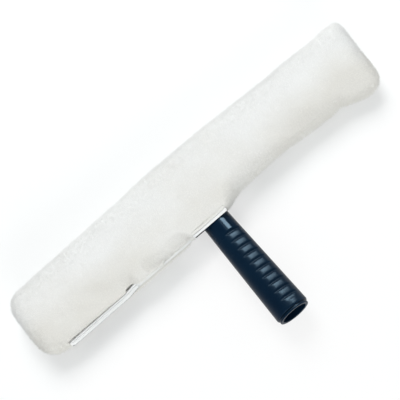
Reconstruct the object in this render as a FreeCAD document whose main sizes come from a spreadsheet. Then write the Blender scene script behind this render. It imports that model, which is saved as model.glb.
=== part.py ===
"""Window washer: a fleece sleeve on a fixed T-bar with a moulded, pole-ready handle.

The tool lies on its back. X runs along the bar, the handle points along -Y, Z is up.
The origin is under the middle of the whole tool, on the plane that the sleeve lies on.
Pieces are drawn about the centre of the bar and placed from there.
"""
import FreeCAD, Part
import math
import os
import Sketcher

Vector = FreeCAD.Vector
doc = FreeCAD.newDocument("window_washer")

# Driving dimensions in millimetres, angles in degrees, and counts
SIZES = {
    # Crossbar: flat-oval tube, its end plugs and its water holes
    "tube_length": 330,
    "tube_height": 44,
    "tube_thick": 16,
    "tube_wall": 1.5,
    "plug_head": 6,
    "plug_insert": 16,
    "plug_wall": 2,
    "plug_round": 4,
    "water_hole": 10,
    "water_first": 40,
    "water_last": 23,
    "water_count": 4,
    "fit_gap": 0.2,
    # Handle: neck, tapered grip, rim, pole socket and the tang inside the tube
    "grip_length": 110,
    "neck_dia": 26,
    "end_dia": 32,
    "end_round": 1.5,
    "rim_dia": 29.6,
    "rim_length": 1.8,
    "rim_groove": 0.9,
    "rim_groove_depth": 0.7,
    "rim_round": 0.6,
    "bore_dia": 24,
    "bore_depth": 32,
    "taper_dia": 14,
    "taper_depth": 92,
    "saddle_lap": 5,
    "tang_width": 22,
    "tang_rise": 12,
    "tang_root": 8,
    # Finger grooves across the two sides of the grip
    "groove_count": 10,
    "groove_first": 20,
    "groove_pitch": 8.4,
    "groove_radius": 2.2,
    "groove_depth": 1.5,
    "groove_turn": 25,
    # Screws, washers and nuts that hold the tang in the tube
    "screw_dia": 4,
    "screw_spacing": 14,
    "screw_gap": 0.15,
    "screw_tip": 1,
    "head_dia": 8,
    "head_height": 2.4,
    "head_round": 0.9,
    "drive_width": 1,
    "drive_length": 4.6,
    "drive_depth": 1.2,
    "washer_dia": 9,
    "washer_thick": 0.8,
    "nut_corners": 8,
    "nut_height": 3.2,
    # Fleece sleeve around the bar
    "pile_depth": 12,
    "edge_margin": 11,
    "end_margin": 19,
    "sleeve_gap": 0.3,
    "top_crown": 4.5,
    "crown_run": 80,
    "face_crown": 0.5,
    "edge_round": 12,
    # Roundings of its front edges: how far each reaches over the face and drops from it
    "top_reach": 21,
    "top_drop": 19,
    "front_reach": 26,
    "front_drop": 14.5,
    "drawn_drop": 19,
    "slot_front_round": 9,
    "slot_fade": 34,
    # Its lower right edge, which is drawn in beside the handle and puffs out again at the end
    "draw_in": 6.8,
    "draw_run": 11,
    "draw_more": 1.6,
    "draw_middle": 80,
    "puff": 8.2,
    "puff_run": 44,
    # Its round ends and their corners
    "end_side_round": 17,
    "left_corner": 16,
    "right_top_corner": 10,
    "right_low_corner": 13,
    # Handle slot in the sleeve and the tapes on its two lips
    "slot_gap": 0.4,
    "slot_reach": 24,
    "slot_tape_thick": 1,
    "slot_tape_width": 9.5,
    "slot_tape_drop": 5.5,
    "slot_back_rise": 2.4,
    # Closure: slit, hinged flap and the hook and loop tapes under it
    "flap_start": 28,
    "flap_margin": 24,
    "flap_thick": 1.6,
    "flap_gap": 0.3,
    "flap_round": 3,
    "back_lip": 2,
    "slit_gap": 4,
    "slit_inset": 3,
    "hook_length": 78,
    "hook_thick": 1,
    "hook_inset": 0.5,
    # How far every cutting shape runs past the face that it cuts
    "overrun": 2,
    # How close two places have to be to count as the same
    "match": 0.01,
}

sheet = doc.addObject("Spreadsheet::Sheet", "dims")
for row, (alias, size) in enumerate(SIZES.items(), start=1):
    sheet.set(f"A{row}", alias)
    sheet.set(f"B{row}", str(size))
    sheet.setAlias(f"B{row}", alias)
doc.recompute()

# Sizes that follow from the driving ones, as expressions on the sheet
INNER_HEIGHT = "(dims.tube_height - 2 * dims.tube_wall)"
INNER_THICK = "(dims.tube_thick - 2 * dims.tube_wall)"
BAR_LENGTH = "(dims.tube_length + 2 * dims.plug_head)"
SLEEVE_LENGTH = f"({BAR_LENGTH} + 2 * dims.end_margin)"
SLEEVE_HEIGHT = "(dims.tube_height + 2 * dims.edge_margin)"
SLEEVE_THICK = "(dims.tube_thick + 2 * dims.pile_depth)"
CAVITY_HEIGHT = "(dims.tube_height + 2 * dims.sleeve_gap)"
CAVITY_THICK = "(dims.tube_thick + 2 * dims.sleeve_gap)"
LOWER_FACE = f"({SLEEVE_HEIGHT} / 2)"
HANDLE_END = f"({LOWER_FACE} + dims.grip_length)"
SLOT_HALF = "(dims.neck_dia / 2 + dims.slot_gap)"
LIP_HALF = f"({SLOT_HALF} + dims.slot_tape_thick)"
FLAP_LOW = f"(dims.edge_round - {SLEEVE_THICK} / 2)"
FLAP_WIDTH = f"({SLEEVE_THICK} - dims.edge_round - dims.front_drop)"
FLAP_END = f"({SLEEVE_LENGTH} / 2 - dims.flap_margin)"
RECESS_DEPTH = "(dims.flap_thick + 2 * dims.hook_thick + dims.flap_gap)"
FRONT_LIP = f"({FLAP_WIDTH} - dims.back_lip - dims.slit_gap)"
HOOK_WIDTH = f"({FRONT_LIP} - 2 * dims.hook_inset)"
NUT_STACK = "(dims.washer_thick + dims.nut_height + dims.screw_tip)"
BAR_Y = f"(({HANDLE_END} - {LOWER_FACE} - dims.top_crown) / 2)"
BAR_Z = f"({SLEEVE_THICK} / 2)"


def value(expression):
    """The number that an expression on the sheet gives."""
    return float(sheet.evalExpression(expression))


def new(kind, name, **bound):
    """A document object whose properties follow expressions on the sheet."""
    made = doc.addObject(kind, name)
    for prop, expression in bound.items():
        made.setExpression(prop, expression)
    return made


def move(piece, **offsets):
    """Shift a piece along x, y or z by expressions."""
    for axis, expression in offsets.items():
        piece.setExpression(f"Placement.Base.{axis}", expression)
    return piece


def turn(piece, axis, angle):
    """Turn a piece about an axis through its origin, by an angle in degrees."""
    piece.Placement.Rotation = FreeCAD.Rotation(axis, angle)
    return piece


def box(name, left, right, low, high, back, front):
    """A block between six expressions: left and right in x, low and high in y, back and front in z."""
    made = new(
        "Part::Box",
        name,
        Length=f"{right} - ({left})",
        Width=f"{high} - ({low})",
        Height=f"{front} - ({back})",
    )
    return move(made, x=left, y=low, z=back)


def cylinder(name, radius, height, base):
    """An upright cylinder whose base is at a place given as three expressions."""
    made = new("Part::Cylinder", name, Radius=radius, Height=height)
    return move(made, x=base[0], y=base[1], z=base[2])


def cut(name, base, tool):
    """The base with the tool taken away."""
    made = doc.addObject("Part::Cut", name)
    made.Base = base
    made.Tool = tool
    return made


def fuse(name, pieces):
    """Pieces that are joined into one solid."""
    made = doc.addObject("Part::MultiFuse", name)
    made.Shapes = pieces
    return made


def group(name, pieces):
    """Separate solids kept together as one piece."""
    made = doc.addObject("Part::Compound", name)
    made.Links = pieces
    return made


def new_body(name):
    return doc.addObject("PartDesign::Body", name)


def new_sketch(body, name, plane, offset="0"):
    """A sketch on one of the body's own planes, moved along its normal by an expression."""
    sketch = body.newObject("Sketcher::SketchObject", name)
    base = [item for item in body.Origin.OriginFeatures if item.Role == plane][0]
    sketch.AttachmentSupport = [(base, "")]
    sketch.MapMode = "FlatFace"
    sketch.setExpression("AttachmentOffset.Base.z", offset)
    return sketch


def fix(sketch, kind, geometry, point, expression):
    """Hold one coordinate of a point of the sketch at an expression."""
    held = Sketcher.Constraint(kind, -1, 1, geometry, point, value(expression))
    name = f"{kind}_{geometry}_{point}"
    sketch.renameConstraint(sketch.addConstraint(held), name)
    sketch.setExpression(f"Constraints.{name}", expression)


def set_radius(sketch, geometry, expression):
    """Hold the radius of an arc or circle of the sketch at an expression."""
    held = Sketcher.Constraint("Radius", geometry, value(expression))
    name = f"radius_{geometry}"
    sketch.renameConstraint(sketch.addConstraint(held), name)
    sketch.setExpression(f"Constraints.{name}", expression)


def draw_outline(sketch, points, arcs=None):
    """A closed outline through points given as pairs of expressions.

    arcs maps the number of a side to its rise: that side is an arc that bulges to its right,
    seen from its start to its end, by the rise, or to its left where the rise is negative.
    """
    arcs = arcs or {}
    corners = [Vector(value(along), value(across), 0) for along, across in points]
    for side, start in enumerate(corners):
        end = corners[(side + 1) % len(corners)]
        if side in arcs:
            chord = end - start
            right = Vector(chord.y, -chord.x, 0).normalize()
            middle = (start + end) / 2 + right * value(arcs[side])
            sketch.addGeometry(Part.Arc(start, middle, end))
        else:
            sketch.addGeometry(Part.LineSegment(start, end))
    # An arc is kept counterclockwise, so one that was drawn clockwise has its ends swapped
    ends = []
    for side, start in enumerate(corners):
        drawn_from = sketch.getPoint(side, 1)
        ends.append((1, 2) if drawn_from.isEqual(start, value("dims.match")) else (2, 1))
    for side, (along, across) in enumerate(points):
        after = (side + 1) % len(points)
        sketch.addConstraint(Sketcher.Constraint("Coincident", side, ends[side][1], after, ends[after][0]))
        fix(sketch, "DistanceX", side, ends[side][0], along)
        fix(sketch, "DistanceY", side, ends[side][0], across)
    for side, rise in arcs.items():
        # Radius of a circle through the ends of a chord, from its half length and its rise
        first, second = points[side], points[(side + 1) % len(points)]
        half_square = f"((({first[0]} - {second[0]})^2 + ({first[1]} - {second[1]})^2) / 4)"
        set_radius(sketch, side, f"({half_square} + ({rise})^2) / (2 * abs({rise}))")
    return sketch


def draw_box(sketch, left, right, low, high):
    """A rectangle between four expressions."""
    return draw_outline(sketch, [(left, low), (right, low), (right, high), (left, high)])


def draw_flat_oval(sketch, height, thick):
    """A flat oval about the sketch's origin: two straight sides and two half-round ends."""
    reach = value(f"({height} - {thick}) / 2")
    radius = value(f"{thick} / 2")
    first = sketch.GeometryCount
    up, out = Vector(0, radius, 0), Vector(reach, 0, 0)
    round_end = Part.Circle(out, Vector(0, 0, 1), radius)
    round_start = Part.Circle(-out, Vector(0, 0, 1), radius)
    sketch.addGeometry(Part.LineSegment(up - out, up + out))
    sketch.addGeometry(Part.ArcOfCircle(round_end, -math.pi / 2, math.pi / 2))
    sketch.addGeometry(Part.LineSegment(out - up, -out - up))
    sketch.addGeometry(Part.ArcOfCircle(round_start, math.pi / 2, 3 * math.pi / 2))
    joined = ((0, 2, 1, 2), (1, 1, 2, 1), (2, 2, 3, 2), (3, 1, 0, 1))
    for one, one_end, other, other_end in joined:
        sketch.addConstraint(
            Sketcher.Constraint("Tangent", first + one, one_end, first + other, other_end)
        )
    sketch.addConstraint(Sketcher.Constraint("Horizontal", first))
    sketch.addConstraint(Sketcher.Constraint("Symmetric", first + 1, 3, first + 3, 3, -1, 1))
    fix(sketch, "DistanceX", first + 1, 3, f"({height} - {thick}) / 2")
    set_radius(sketch, first + 1, f"{thick} / 2")
    return sketch


def draw_circles(sketch, places, diameter):
    """Equal circles at places given as pairs of expressions."""
    for along, across in places:
        centre = Vector(value(along), value(across), 0)
        number = sketch.addGeometry(Part.Circle(centre, Vector(0, 0, 1), value(f"{diameter} / 2")))
        fix(sketch, "DistanceX", number, 3, along)
        fix(sketch, "DistanceY", number, 3, across)
        set_radius(sketch, number, f"{diameter} / 2")
    return sketch


def pad(body, sketch, length, both_ways=False, reversed_way=False):
    feature = body.newObject("PartDesign::Pad", f"{sketch.Name}_pad")
    feature.Profile = sketch
    feature.setExpression("Length", length)
    feature.Midplane = both_ways
    feature.Reversed = reversed_way
    doc.recompute()
    return feature


def pocket(body, sketch, length, both_ways=False, reversed_way=False):
    """Cut the sketch out of the body, and make sure that it did take something away."""
    before = body.Shape.Volume
    feature = body.newObject("PartDesign::Pocket", f"{sketch.Name}_pocket")
    feature.Profile = sketch
    feature.setExpression("Length", length)
    feature.Midplane = both_ways
    feature.Reversed = reversed_way
    doc.recompute()
    if body.Shape.Volume >= before:
        raise RuntimeError(f"{sketch.Name} cut nothing")
    return feature


def round_edges(body, name, radius, chosen):
    """Round those edges of the body's last feature for which chosen(edge) is true."""
    base = body.Tip
    names = [f"Edge{i}" for i, edge in enumerate(base.Shape.Edges, start=1) if chosen(edge)]
    feature = body.newObject("PartDesign::Fillet", name)
    feature.Base = (base, names)
    feature.setExpression("Radius", radius)
    doc.recompute()
    return feature


def near(first, second):
    return abs(first - second) < value("dims.match")


def place_on_bar(piece):
    """Put a piece that is drawn about the bar's centre in its place in the tool."""
    return move(piece, y=BAR_Y, z=BAR_Z)


# Crossbar tube: extruded flat oval, with water holes, screw holes and a slot for the tang
crossbar_tube = new_body("crossbar_tube")
section = new_sketch(crossbar_tube, "tube_section", "YZ_Plane")
draw_flat_oval(section, "dims.tube_height", "dims.tube_thick")
draw_flat_oval(section, INNER_HEIGHT, INNER_THICK)
pad(crossbar_tube, section, "dims.tube_length", both_ways=True)

tang_slot = new_sketch(crossbar_tube, "tang_slot", "XZ_Plane")
draw_box(
    tang_slot,
    "-(dims.tang_width / 2 + dims.fit_gap)",
    "dims.tang_width / 2 + dims.fit_gap",
    f"-{INNER_THICK} / 2",
    f"{INNER_THICK} / 2",
)
pocket(crossbar_tube, tang_slot, "dims.tube_height / 2 + dims.overrun", reversed_way=True)

screw_places = [("0", "dims.screw_spacing / 2"), ("0", "-dims.screw_spacing / 2")]
screw_holes = new_sketch(crossbar_tube, "tube_screw_holes", "XY_Plane")
draw_circles(screw_holes, screw_places, "(dims.screw_dia + 2 * dims.screw_gap)")
pocket(crossbar_tube, screw_holes, "dims.tube_thick + 2 * dims.overrun", both_ways=True)

water_span = "(dims.tube_length / 2 - dims.water_first - dims.water_last)"
water_places = []
for number in range(int(value("dims.water_count"))):
    place = f"(dims.water_first + {number} * {water_span} / (dims.water_count - 1))"
    water_places += [(place, "0"), (f"-{place}", "0")]
water_holes = new_sketch(crossbar_tube, "water_holes", "XY_Plane")
draw_circles(water_holes, water_places, "dims.water_hole")
pocket(crossbar_tube, water_holes, "dims.tube_thick + 2 * dims.overrun", both_ways=True)
place_on_bar(crossbar_tube)


def end_plug(name, side):
    """Moulded plug: a hollow insert in the tube's end and a rounded head that covers its rim."""
    plug = new_body(name)
    head = new_sketch(plug, f"{name}_head", "YZ_Plane")
    draw_flat_oval(head, "dims.tube_height", "dims.tube_thick")
    pad(plug, head, "dims.plug_head")
    round_edges(
        plug,
        f"{name}_round",
        "dims.plug_round",
        lambda edge: all(near(v.X, value("dims.plug_head")) for v in edge.Vertexes),
    )
    insert = new_sketch(plug, f"{name}_insert", "YZ_Plane")
    draw_flat_oval(
        insert, f"({INNER_HEIGHT} - 2 * dims.fit_gap)", f"({INNER_THICK} - 2 * dims.fit_gap)"
    )
    pad(plug, insert, "dims.plug_insert", reversed_way=True)
    hollow = new_sketch(plug, f"{name}_hollow", "YZ_Plane")
    draw_flat_oval(
        hollow,
        f"({INNER_HEIGHT} - 2 * dims.fit_gap - 2 * dims.plug_wall)",
        f"({INNER_THICK} - 2 * dims.fit_gap - 2 * dims.plug_wall)",
    )
    pocket(plug, hollow, "dims.plug_insert + dims.overrun", reversed_way=False)
    if side < 0:
        turn(plug, Vector(0, 0, 1), 180)
    move(plug, x=f"{side} * dims.tube_length / 2")
    return place_on_bar(plug)


left_end_plug = end_plug("left_end_plug", -1)
right_end_plug = end_plug("right_end_plug", 1)

# Handle: one moulding, turned profile with a tang, drawn with its end along +Y and then turned round
handle_core = new_body("handle_core")
neck_top = "(dims.tube_height / 2 - dims.saddle_lap)"
shoulder = f"({HANDLE_END} - dims.rim_length - dims.rim_groove)"
groove_bed = "(dims.rim_dia / 2 - dims.rim_groove_depth)"
profile = new_sketch(handle_core, "handle_profile", "XY_Plane")
draw_outline(
    profile,
    [
        ("0", neck_top),
        ("dims.neck_dia / 2", neck_top),
        ("dims.neck_dia / 2", LOWER_FACE),
        ("dims.end_dia / 2", shoulder),
        (groove_bed, shoulder),
        (groove_bed, f"{HANDLE_END} - dims.rim_length"),
        ("dims.rim_dia / 2", f"{HANDLE_END} - dims.rim_length"),
        ("dims.rim_dia / 2", HANDLE_END),
        ("dims.bore_dia / 2", HANDLE_END),
        ("dims.bore_dia / 2", f"{HANDLE_END} - dims.bore_depth"),
        ("dims.taper_dia / 2", f"{HANDLE_END} - dims.taper_depth"),
        ("0", f"{HANDLE_END} - dims.taper_depth"),
    ],
)
turned = handle_core.newObject("PartDesign::Revolution", "handle_turned")
turned.Profile = profile
turned.ReferenceAxis = (profile, ["V_Axis"])
doc.recompute()
round_edges(
    handle_core,
    "shoulder_round",
    "dims.end_round",
    lambda edge: all(
        near(math.hypot(v.X, v.Z), value("dims.end_dia / 2")) and near(v.Y, value(shoulder))
        for v in edge.Vertexes
    ),
)
round_edges(
    handle_core,
    "rim_rounds",
    "dims.rim_round",
    lambda edge: all(
        near(math.hypot(v.X, v.Z), value("dims.rim_dia / 2")) for v in edge.Vertexes
    ) and len(edge.Vertexes) == 1,
)
saddle = new_sketch(handle_core, "saddle", "YZ_Plane")
draw_flat_oval(
    saddle, "(dims.tube_height + 2 * dims.fit_gap)", "(dims.tube_thick + 2 * dims.fit_gap)"
)
pocket(handle_core, saddle, "dims.neck_dia + 2 * dims.overrun", both_ways=True)
tang = new_sketch(handle_core, "tang", "XY_Plane")
draw_box(
    tang,
    "-dims.tang_width / 2",
    "dims.tang_width / 2",
    "-dims.tang_rise",
    "dims.tube_height / 2 + dims.tang_root",
)
pad(handle_core, tang, f"{INNER_THICK} - 2 * dims.fit_gap", both_ways=True)
tang_holes = new_sketch(handle_core, "tang_screw_holes", "XY_Plane")
draw_circles(tang_holes, screw_places, "(dims.screw_dia + 2 * dims.screw_gap)")
pocket(handle_core, tang_holes, "dims.tube_thick", both_ways=True)

# Finger grooves: straight round cuts across the taper, so each one is shaped like a leaf
grooves = []
for face_turn in ("-dims.groove_turn", "(180 - dims.groove_turn)"):
    for number in range(int(value("dims.groove_count"))):
        along = f"(dims.groove_first + {number} * dims.groove_pitch)"
        swell = f"({along} / dims.grip_length * (dims.end_dia - dims.neck_dia) / 2)"
        out = f"(dims.neck_dia / 2 + {swell} + dims.groove_radius - dims.groove_depth)"
        groove = cylinder(
            f"groove_{len(grooves) + 1}",
            "dims.groove_radius",
            "2 * dims.end_dia",
            (
                f"{out} * sin({face_turn}) - dims.end_dia * cos({face_turn})",
                f"{LOWER_FACE} + {along}",
                f"{out} * cos({face_turn}) + dims.end_dia * sin({face_turn})",
            ),
        )
        grooves.append(turn(groove, Vector(0, 1, 0), 90 + value(face_turn)))
handle = cut("handle", handle_core, group("finger_grooves", grooves))
turn(handle, Vector(0, 0, 1), 180)
place_on_bar(handle)


def screw(name, place):
    """Pan-head machine screw with a cross drive: its head on the front of the tube."""
    along, across = place
    front = "dims.tube_thick / 2"
    back = f"-(dims.tube_thick / 2 + {NUT_STACK})"
    top = f"{front} + dims.head_height"
    shank = cylinder(f"{name}_shank", "dims.screw_dia / 2", f"{top} - ({back})", (along, across, back))
    head = cylinder(f"{name}_pan", "dims.head_dia / 2", "dims.head_height", (along, across, front))
    rounded = doc.addObject("Part::Fillet", f"{name}_head")
    rounded.Base = head
    doc.recompute()
    head_round = value("dims.head_round")
    upper = [
        number
        for number, edge in enumerate(head.Shape.Edges, start=1)
        if near(edge.BoundBox.ZMin, value(top))
    ]
    rounded.Edges = [(number, head_round, head_round) for number in upper]
    arms = []
    for number, (long_way, short_way) in enumerate(
        (("dims.drive_length", "dims.drive_width"), ("dims.drive_width", "dims.drive_length"))
    ):
        arms.append(
            box(
                f"{name}_drive_{number}",
                f"{along} - {long_way} / 2",
                f"{along} + {long_way} / 2",
                f"{across} - {short_way} / 2",
                f"{across} + {short_way} / 2",
                f"{top} - dims.drive_depth",
                f"{top} + dims.overrun",
            )
        )
    return cut(name, fuse(f"{name}_solid", [shank, rounded]), fuse(f"{name}_drive", arms))


def washer(name, place):
    """Flat washer between the back of the tube and the nut."""
    back = "-(dims.tube_thick / 2 + dims.washer_thick)"
    disc = cylinder(f"{name}_disc", "dims.washer_dia / 2", "dims.washer_thick", (*place, back))
    hole = cylinder(
        f"{name}_hole", "dims.screw_dia / 2 + dims.screw_gap", "dims.tube_thick", (*place, back)
    )
    return cut(name, disc, hole)


def nut(name, place):
    """Hexagon nut behind the washer."""
    along, across = place
    back = "-(dims.tube_thick / 2 + dims.washer_thick + dims.nut_height)"
    hexagon = new(
        "Part::Prism", f"{name}_hexagon", Circumradius="dims.nut_corners / 2", Height="dims.nut_height"
    )
    move(hexagon, x=along, y=across, z=back)
    hole = cylinder(
        f"{name}_hole", "dims.screw_dia / 2 + dims.screw_gap", "dims.tube_thick", (*place, back)
    )
    return cut(name, hexagon, hole)


def at_screws(name, make):
    """One fastener at each screw place, kept together as one piece."""
    made = [make(f"{name}_{number}", place) for number, place in enumerate(screw_places, start=1)]
    return place_on_bar(group(name, made))


handle_screws = at_screws("handle_screws", screw)
handle_washers = at_screws("handle_washers", washer)
handle_nuts = at_screws("handle_nuts", nut)

# Sleeve: a padded fleece cover, lofted through sections across the bar. Its ends are round, its top edge
# and its face are crowned, and its lower right edge is drawn in up to a puffed end.
HALF_LENGTH = f"({SLEEVE_LENGTH} / 2)"
HALF_THICK = f"({SLEEVE_THICK} / 2)"
END_TURN_SHARES = (0, 0.3, 0.6)
sleeve = new_body("fleece_sleeve")
sleeve_sections = []


def oval_rise(reach, drop):
    """How far the middle of a quarter oval lies from the chord between its ends."""
    return f"((sqrt(2) - 1) * {reach} * {drop} / sqrt(({reach})^2 + ({drop})^2))"


def add_section(along, drawn, reach, drop, corners=("0", "0"), turned=1):
    """A section of the sleeve at a place along the bar: eight sides, of which five are arcs.

    drawn is how far the lower edge is drawn in, and reach and drop are its front rounding. In a round
    end, turned is the share of a right angle that the round has come by, from the tip, and corners are
    how far the upper and the lower edge close in at the tip.
    """
    upper, lower = corners
    closed = f"(1 - sin(90 * {turned}))"
    thin = f"(1 - dims.end_side_round * {closed} / {HALF_THICK})"
    short = f"(1 - ({upper} + {lower}) * {closed} / {SLEEVE_HEIGHT})"
    off_crown = f"(max(abs({along}) - dims.slot_reach; 0) / dims.crown_run)"
    top = f"({LOWER_FACE} + dims.top_crown * exp(-({off_crown}^2)) - {upper} * {closed})"
    low = f"({drawn} - {LOWER_FACE} + {lower} * {closed})"
    front = f"(({HALF_THICK} - dims.face_crown) * {thin})"
    back = f"(-{HALF_THICK} * {thin})"
    back_round = f"(dims.edge_round * {thin})"
    top_reach = f"(dims.top_reach * {short})"
    top_drop = f"((dims.top_drop - dims.face_crown) * {thin})"
    low_reach = f"({reach} * {short})"
    low_drop = f"(({drop} - dims.face_crown) * {thin})"
    section = new_sketch(sleeve, f"sleeve_section_{len(sleeve_sections) + 1}", "YZ_Plane", offset=along)
    draw_outline(
        section,
        [
            (f"{low} + {back_round}", back),
            (f"{top} - {back_round}", back),
            (top, f"{back} + {back_round}"),
            (top, f"{front} - {top_drop}"),
            (f"{top} - {top_reach}", front),
            (f"{low} + {low_reach}", front),
            (low, f"{front} - {low_drop}"),
            (low, f"{back} + {back_round}"),
        ],
        arcs={
            1: oval_rise(back_round, back_round),
            3: oval_rise(top_reach, top_drop),
            4: f"dims.face_crown * {thin}",
            5: oval_rise(low_reach, low_drop),
            7: oval_rise(back_round, back_round),
        },
    )
    sleeve_sections.append(section)


def end_place(turned):
    """How far from the middle of the bar the round end has come by a share of a right angle."""
    return f"({HALF_LENGTH} - dims.end_side_round * (1 - cos(90 * {turned})))"


full_round = ("dims.front_reach", "dims.front_drop")
by_slot = ("dims.slot_front_round", "(dims.slot_front_round + dims.face_crown)")
drawn_round = ("dims.front_reach", "dims.drawn_drop")
left_corners = ("dims.left_corner", "dims.left_corner")
right_corners = ("dims.right_top_corner", "dims.right_low_corner")
drawn_most = "(dims.draw_in + dims.draw_more)"
puffed = "(dims.draw_in - dims.puff)"
fade = "(dims.slot_reach + dims.slot_fade)"
for share in END_TURN_SHARES:
    add_section(f"-{end_place(share)}", "0", *full_round, left_corners, share)
add_section(f"-{end_place(1)}", "0", *full_round)
add_section(f"-({end_place(1)} + {fade}) / 2", "0", *full_round)
add_section(f"-{fade}", "0", *full_round)
add_section("-dims.slot_reach", "0", *by_slot)
add_section(SLOT_HALF, "0", *by_slot)
add_section(
    f"({SLOT_HALF} + dims.draw_run)",
    "dims.draw_in",
    "((dims.slot_front_round + dims.front_reach) / 2)",
    "((dims.slot_front_round + dims.face_crown + dims.drawn_drop) / 2)",
)
add_section("dims.draw_middle", drawn_most, *drawn_round)
add_section(f"({HALF_LENGTH} - dims.puff_run)", drawn_most, *drawn_round)
add_section(end_place(1), puffed, *drawn_round)
for share in reversed(END_TURN_SHARES):
    add_section(end_place(share), puffed, *drawn_round, right_corners, share)
sleeve_form = sleeve.newObject("PartDesign::AdditiveLoft", "sleeve_form")
sleeve_form.Profile = sleeve_sections[0]
sleeve_form.Sections = sleeve_sections[1:]
sleeve_form.Ruled = True
doc.recompute()
cavity = new_sketch(sleeve, "bar_cavity", "YZ_Plane")
draw_flat_oval(cavity, CAVITY_HEIGHT, CAVITY_THICK)
pocket(sleeve, cavity, f"{BAR_LENGTH} + 2 * dims.sleeve_gap", both_ways=True)

screw_room = new_sketch(sleeve, "screw_room", "XY_Plane")
draw_box(
    screw_room,
    "-(dims.washer_dia / 2 + dims.sleeve_gap)",
    "dims.washer_dia / 2 + dims.sleeve_gap",
    "-(dims.screw_spacing / 2 + dims.washer_dia / 2 + dims.sleeve_gap)",
    "dims.screw_spacing / 2 + dims.washer_dia / 2 + dims.sleeve_gap",
)
pocket(
    sleeve,
    screw_room,
    f"dims.tube_thick + 2 * max({NUT_STACK}; dims.head_height) + 2 * dims.sleeve_gap",
    both_ways=True,
)

wall_depth = f"({LOWER_FACE} - dims.tube_height / 2 + dims.overrun)"
handle_slot = new_sketch(sleeve, "handle_slot", "XZ_Plane", offset=LOWER_FACE)
draw_box(handle_slot, "-dims.slot_reach", SLOT_HALF, f"-{LIP_HALF}", LIP_HALF)
pocket(sleeve, handle_slot, f"{LOWER_FACE} - {neck_top} + dims.overrun")
slit = new_sketch(sleeve, "closure_slit", "XZ_Plane", offset=LOWER_FACE)
draw_box(
    slit,
    f"dims.slit_inset - {FLAP_END}",
    "-dims.slot_reach",
    f"{FLAP_LOW} + dims.back_lip",
    f"{FLAP_LOW} + dims.back_lip + dims.slit_gap",
)
pocket(sleeve, slit, wall_depth)
recess = new_sketch(sleeve, "flap_recess", "XZ_Plane", offset=LOWER_FACE)
draw_box(
    recess,
    f"-({FLAP_END} + dims.flap_gap)",
    "dims.flap_gap - dims.flap_start",
    f"{FLAP_LOW} - dims.flap_gap",
    f"{FLAP_LOW} + {FLAP_WIDTH} + dims.flap_gap",
)
pocket(sleeve, recess, RECESS_DEPTH)
place_on_bar(sleeve)


def strip(name, left, right, low, high, back, front):
    """A flat strip of cloth between six expressions that count from the bar's centre."""
    return box(
        name,
        left,
        right,
        f"{BAR_Y} + ({low})",
        f"{BAR_Y} + ({high})",
        f"{BAR_Z} + ({back})",
        f"{BAR_Z} + ({front})",
    )


# Woven tapes that bind the two lips of the handle slot: the front one hangs over the neck
slot_tape_front = strip(
    "slot_tape_front",
    "-dims.slot_reach",
    SLOT_HALF,
    f"-({LOWER_FACE} + dims.slot_tape_drop)",
    f"dims.slot_tape_width - {LOWER_FACE} - dims.slot_tape_drop",
    SLOT_HALF,
    LIP_HALF,
)
slot_tape_back = strip(
    "slot_tape_back",
    "-dims.slot_reach",
    SLOT_HALF,
    f"dims.slot_back_rise - {LOWER_FACE}",
    f"dims.slot_back_rise - {LOWER_FACE} + dims.slot_tape_width / 2",
    f"-{LIP_HALF}",
    f"-{SLOT_HALF}",
)

# Closure flap: a strip of cloth sewn along its back edge, which closes the slit in the sleeve
closure_flap = new_body("closure_flap")
flap_outline = new_sketch(closure_flap, "flap_outline", "XZ_Plane", offset=LOWER_FACE)
draw_box(flap_outline, f"-{FLAP_END}", "-dims.flap_start", FLAP_LOW, f"{FLAP_LOW} + {FLAP_WIDTH}")
pad(closure_flap, flap_outline, "dims.flap_thick", reversed_way=True)
round_edges(
    closure_flap,
    "flap_corners",
    "dims.flap_round",
    lambda edge: near(edge.BoundBox.YLength, value("dims.flap_thick")),
)
place_on_bar(closure_flap)

# Hook tape under the flap and loop tape on the sleeve's front lip, a small gap apart
hook_near = f"{FLAP_LOW} + dims.back_lip + dims.slit_gap + dims.hook_inset"
hook_far = f"{hook_near} + {HOOK_WIDTH}"
hook_left = f"dims.hook_inset - {FLAP_END}"
hook_right = f"dims.hook_inset - {FLAP_END} + dims.hook_length"
hook_tape = strip(
    "hook_tape",
    hook_left,
    hook_right,
    f"dims.flap_thick - {LOWER_FACE}",
    f"dims.flap_thick + dims.hook_thick - {LOWER_FACE}",
    hook_near,
    hook_far,
)
loop_tape = strip(
    "loop_tape",
    hook_left,
    hook_right,
    f"{RECESS_DEPTH} - dims.hook_thick - {LOWER_FACE}",
    f"{RECESS_DEPTH} - {LOWER_FACE}",
    hook_near,
    hook_far,
)

PIECES = [
    crossbar_tube,
    left_end_plug,
    right_end_plug,
    handle,
    handle_screws,
    handle_washers,
    handle_nuts,
    sleeve,
    slot_tape_front,
    slot_tape_back,
    closure_flap,
    hook_tape,
    loop_tape,
]

doc.recompute()
for item in doc.Objects:
    if "Invalid" in item.State or "Error" in item.State:
        raise RuntimeError(f"{item.Label} failed: {item.State}")
for piece in PIECES:
    if piece.Shape.isNull() or not piece.Shape.isValid():
        raise RuntimeError(f"{piece.Label} has no valid shape")
os.makedirs("parts", exist_ok=True)
for piece in PIECES:
    piece.Shape.exportStep(f"parts/{piece.Label}.step")
    print(f"{piece.Label}: {len(piece.Shape.Solids)} solids, {piece.Shape.Volume / 1000:.2f} cm3")
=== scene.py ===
"""Window washer: a white fleece sleeve on a T-bar with a ribbed navy handle, dressed around its solids.

All lengths are in metres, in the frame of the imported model: X along the bar, the handle along -Y, Z up.
"""
import math

import bpy
import numpy as np
from mathutils import Matrix, Vector


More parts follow.
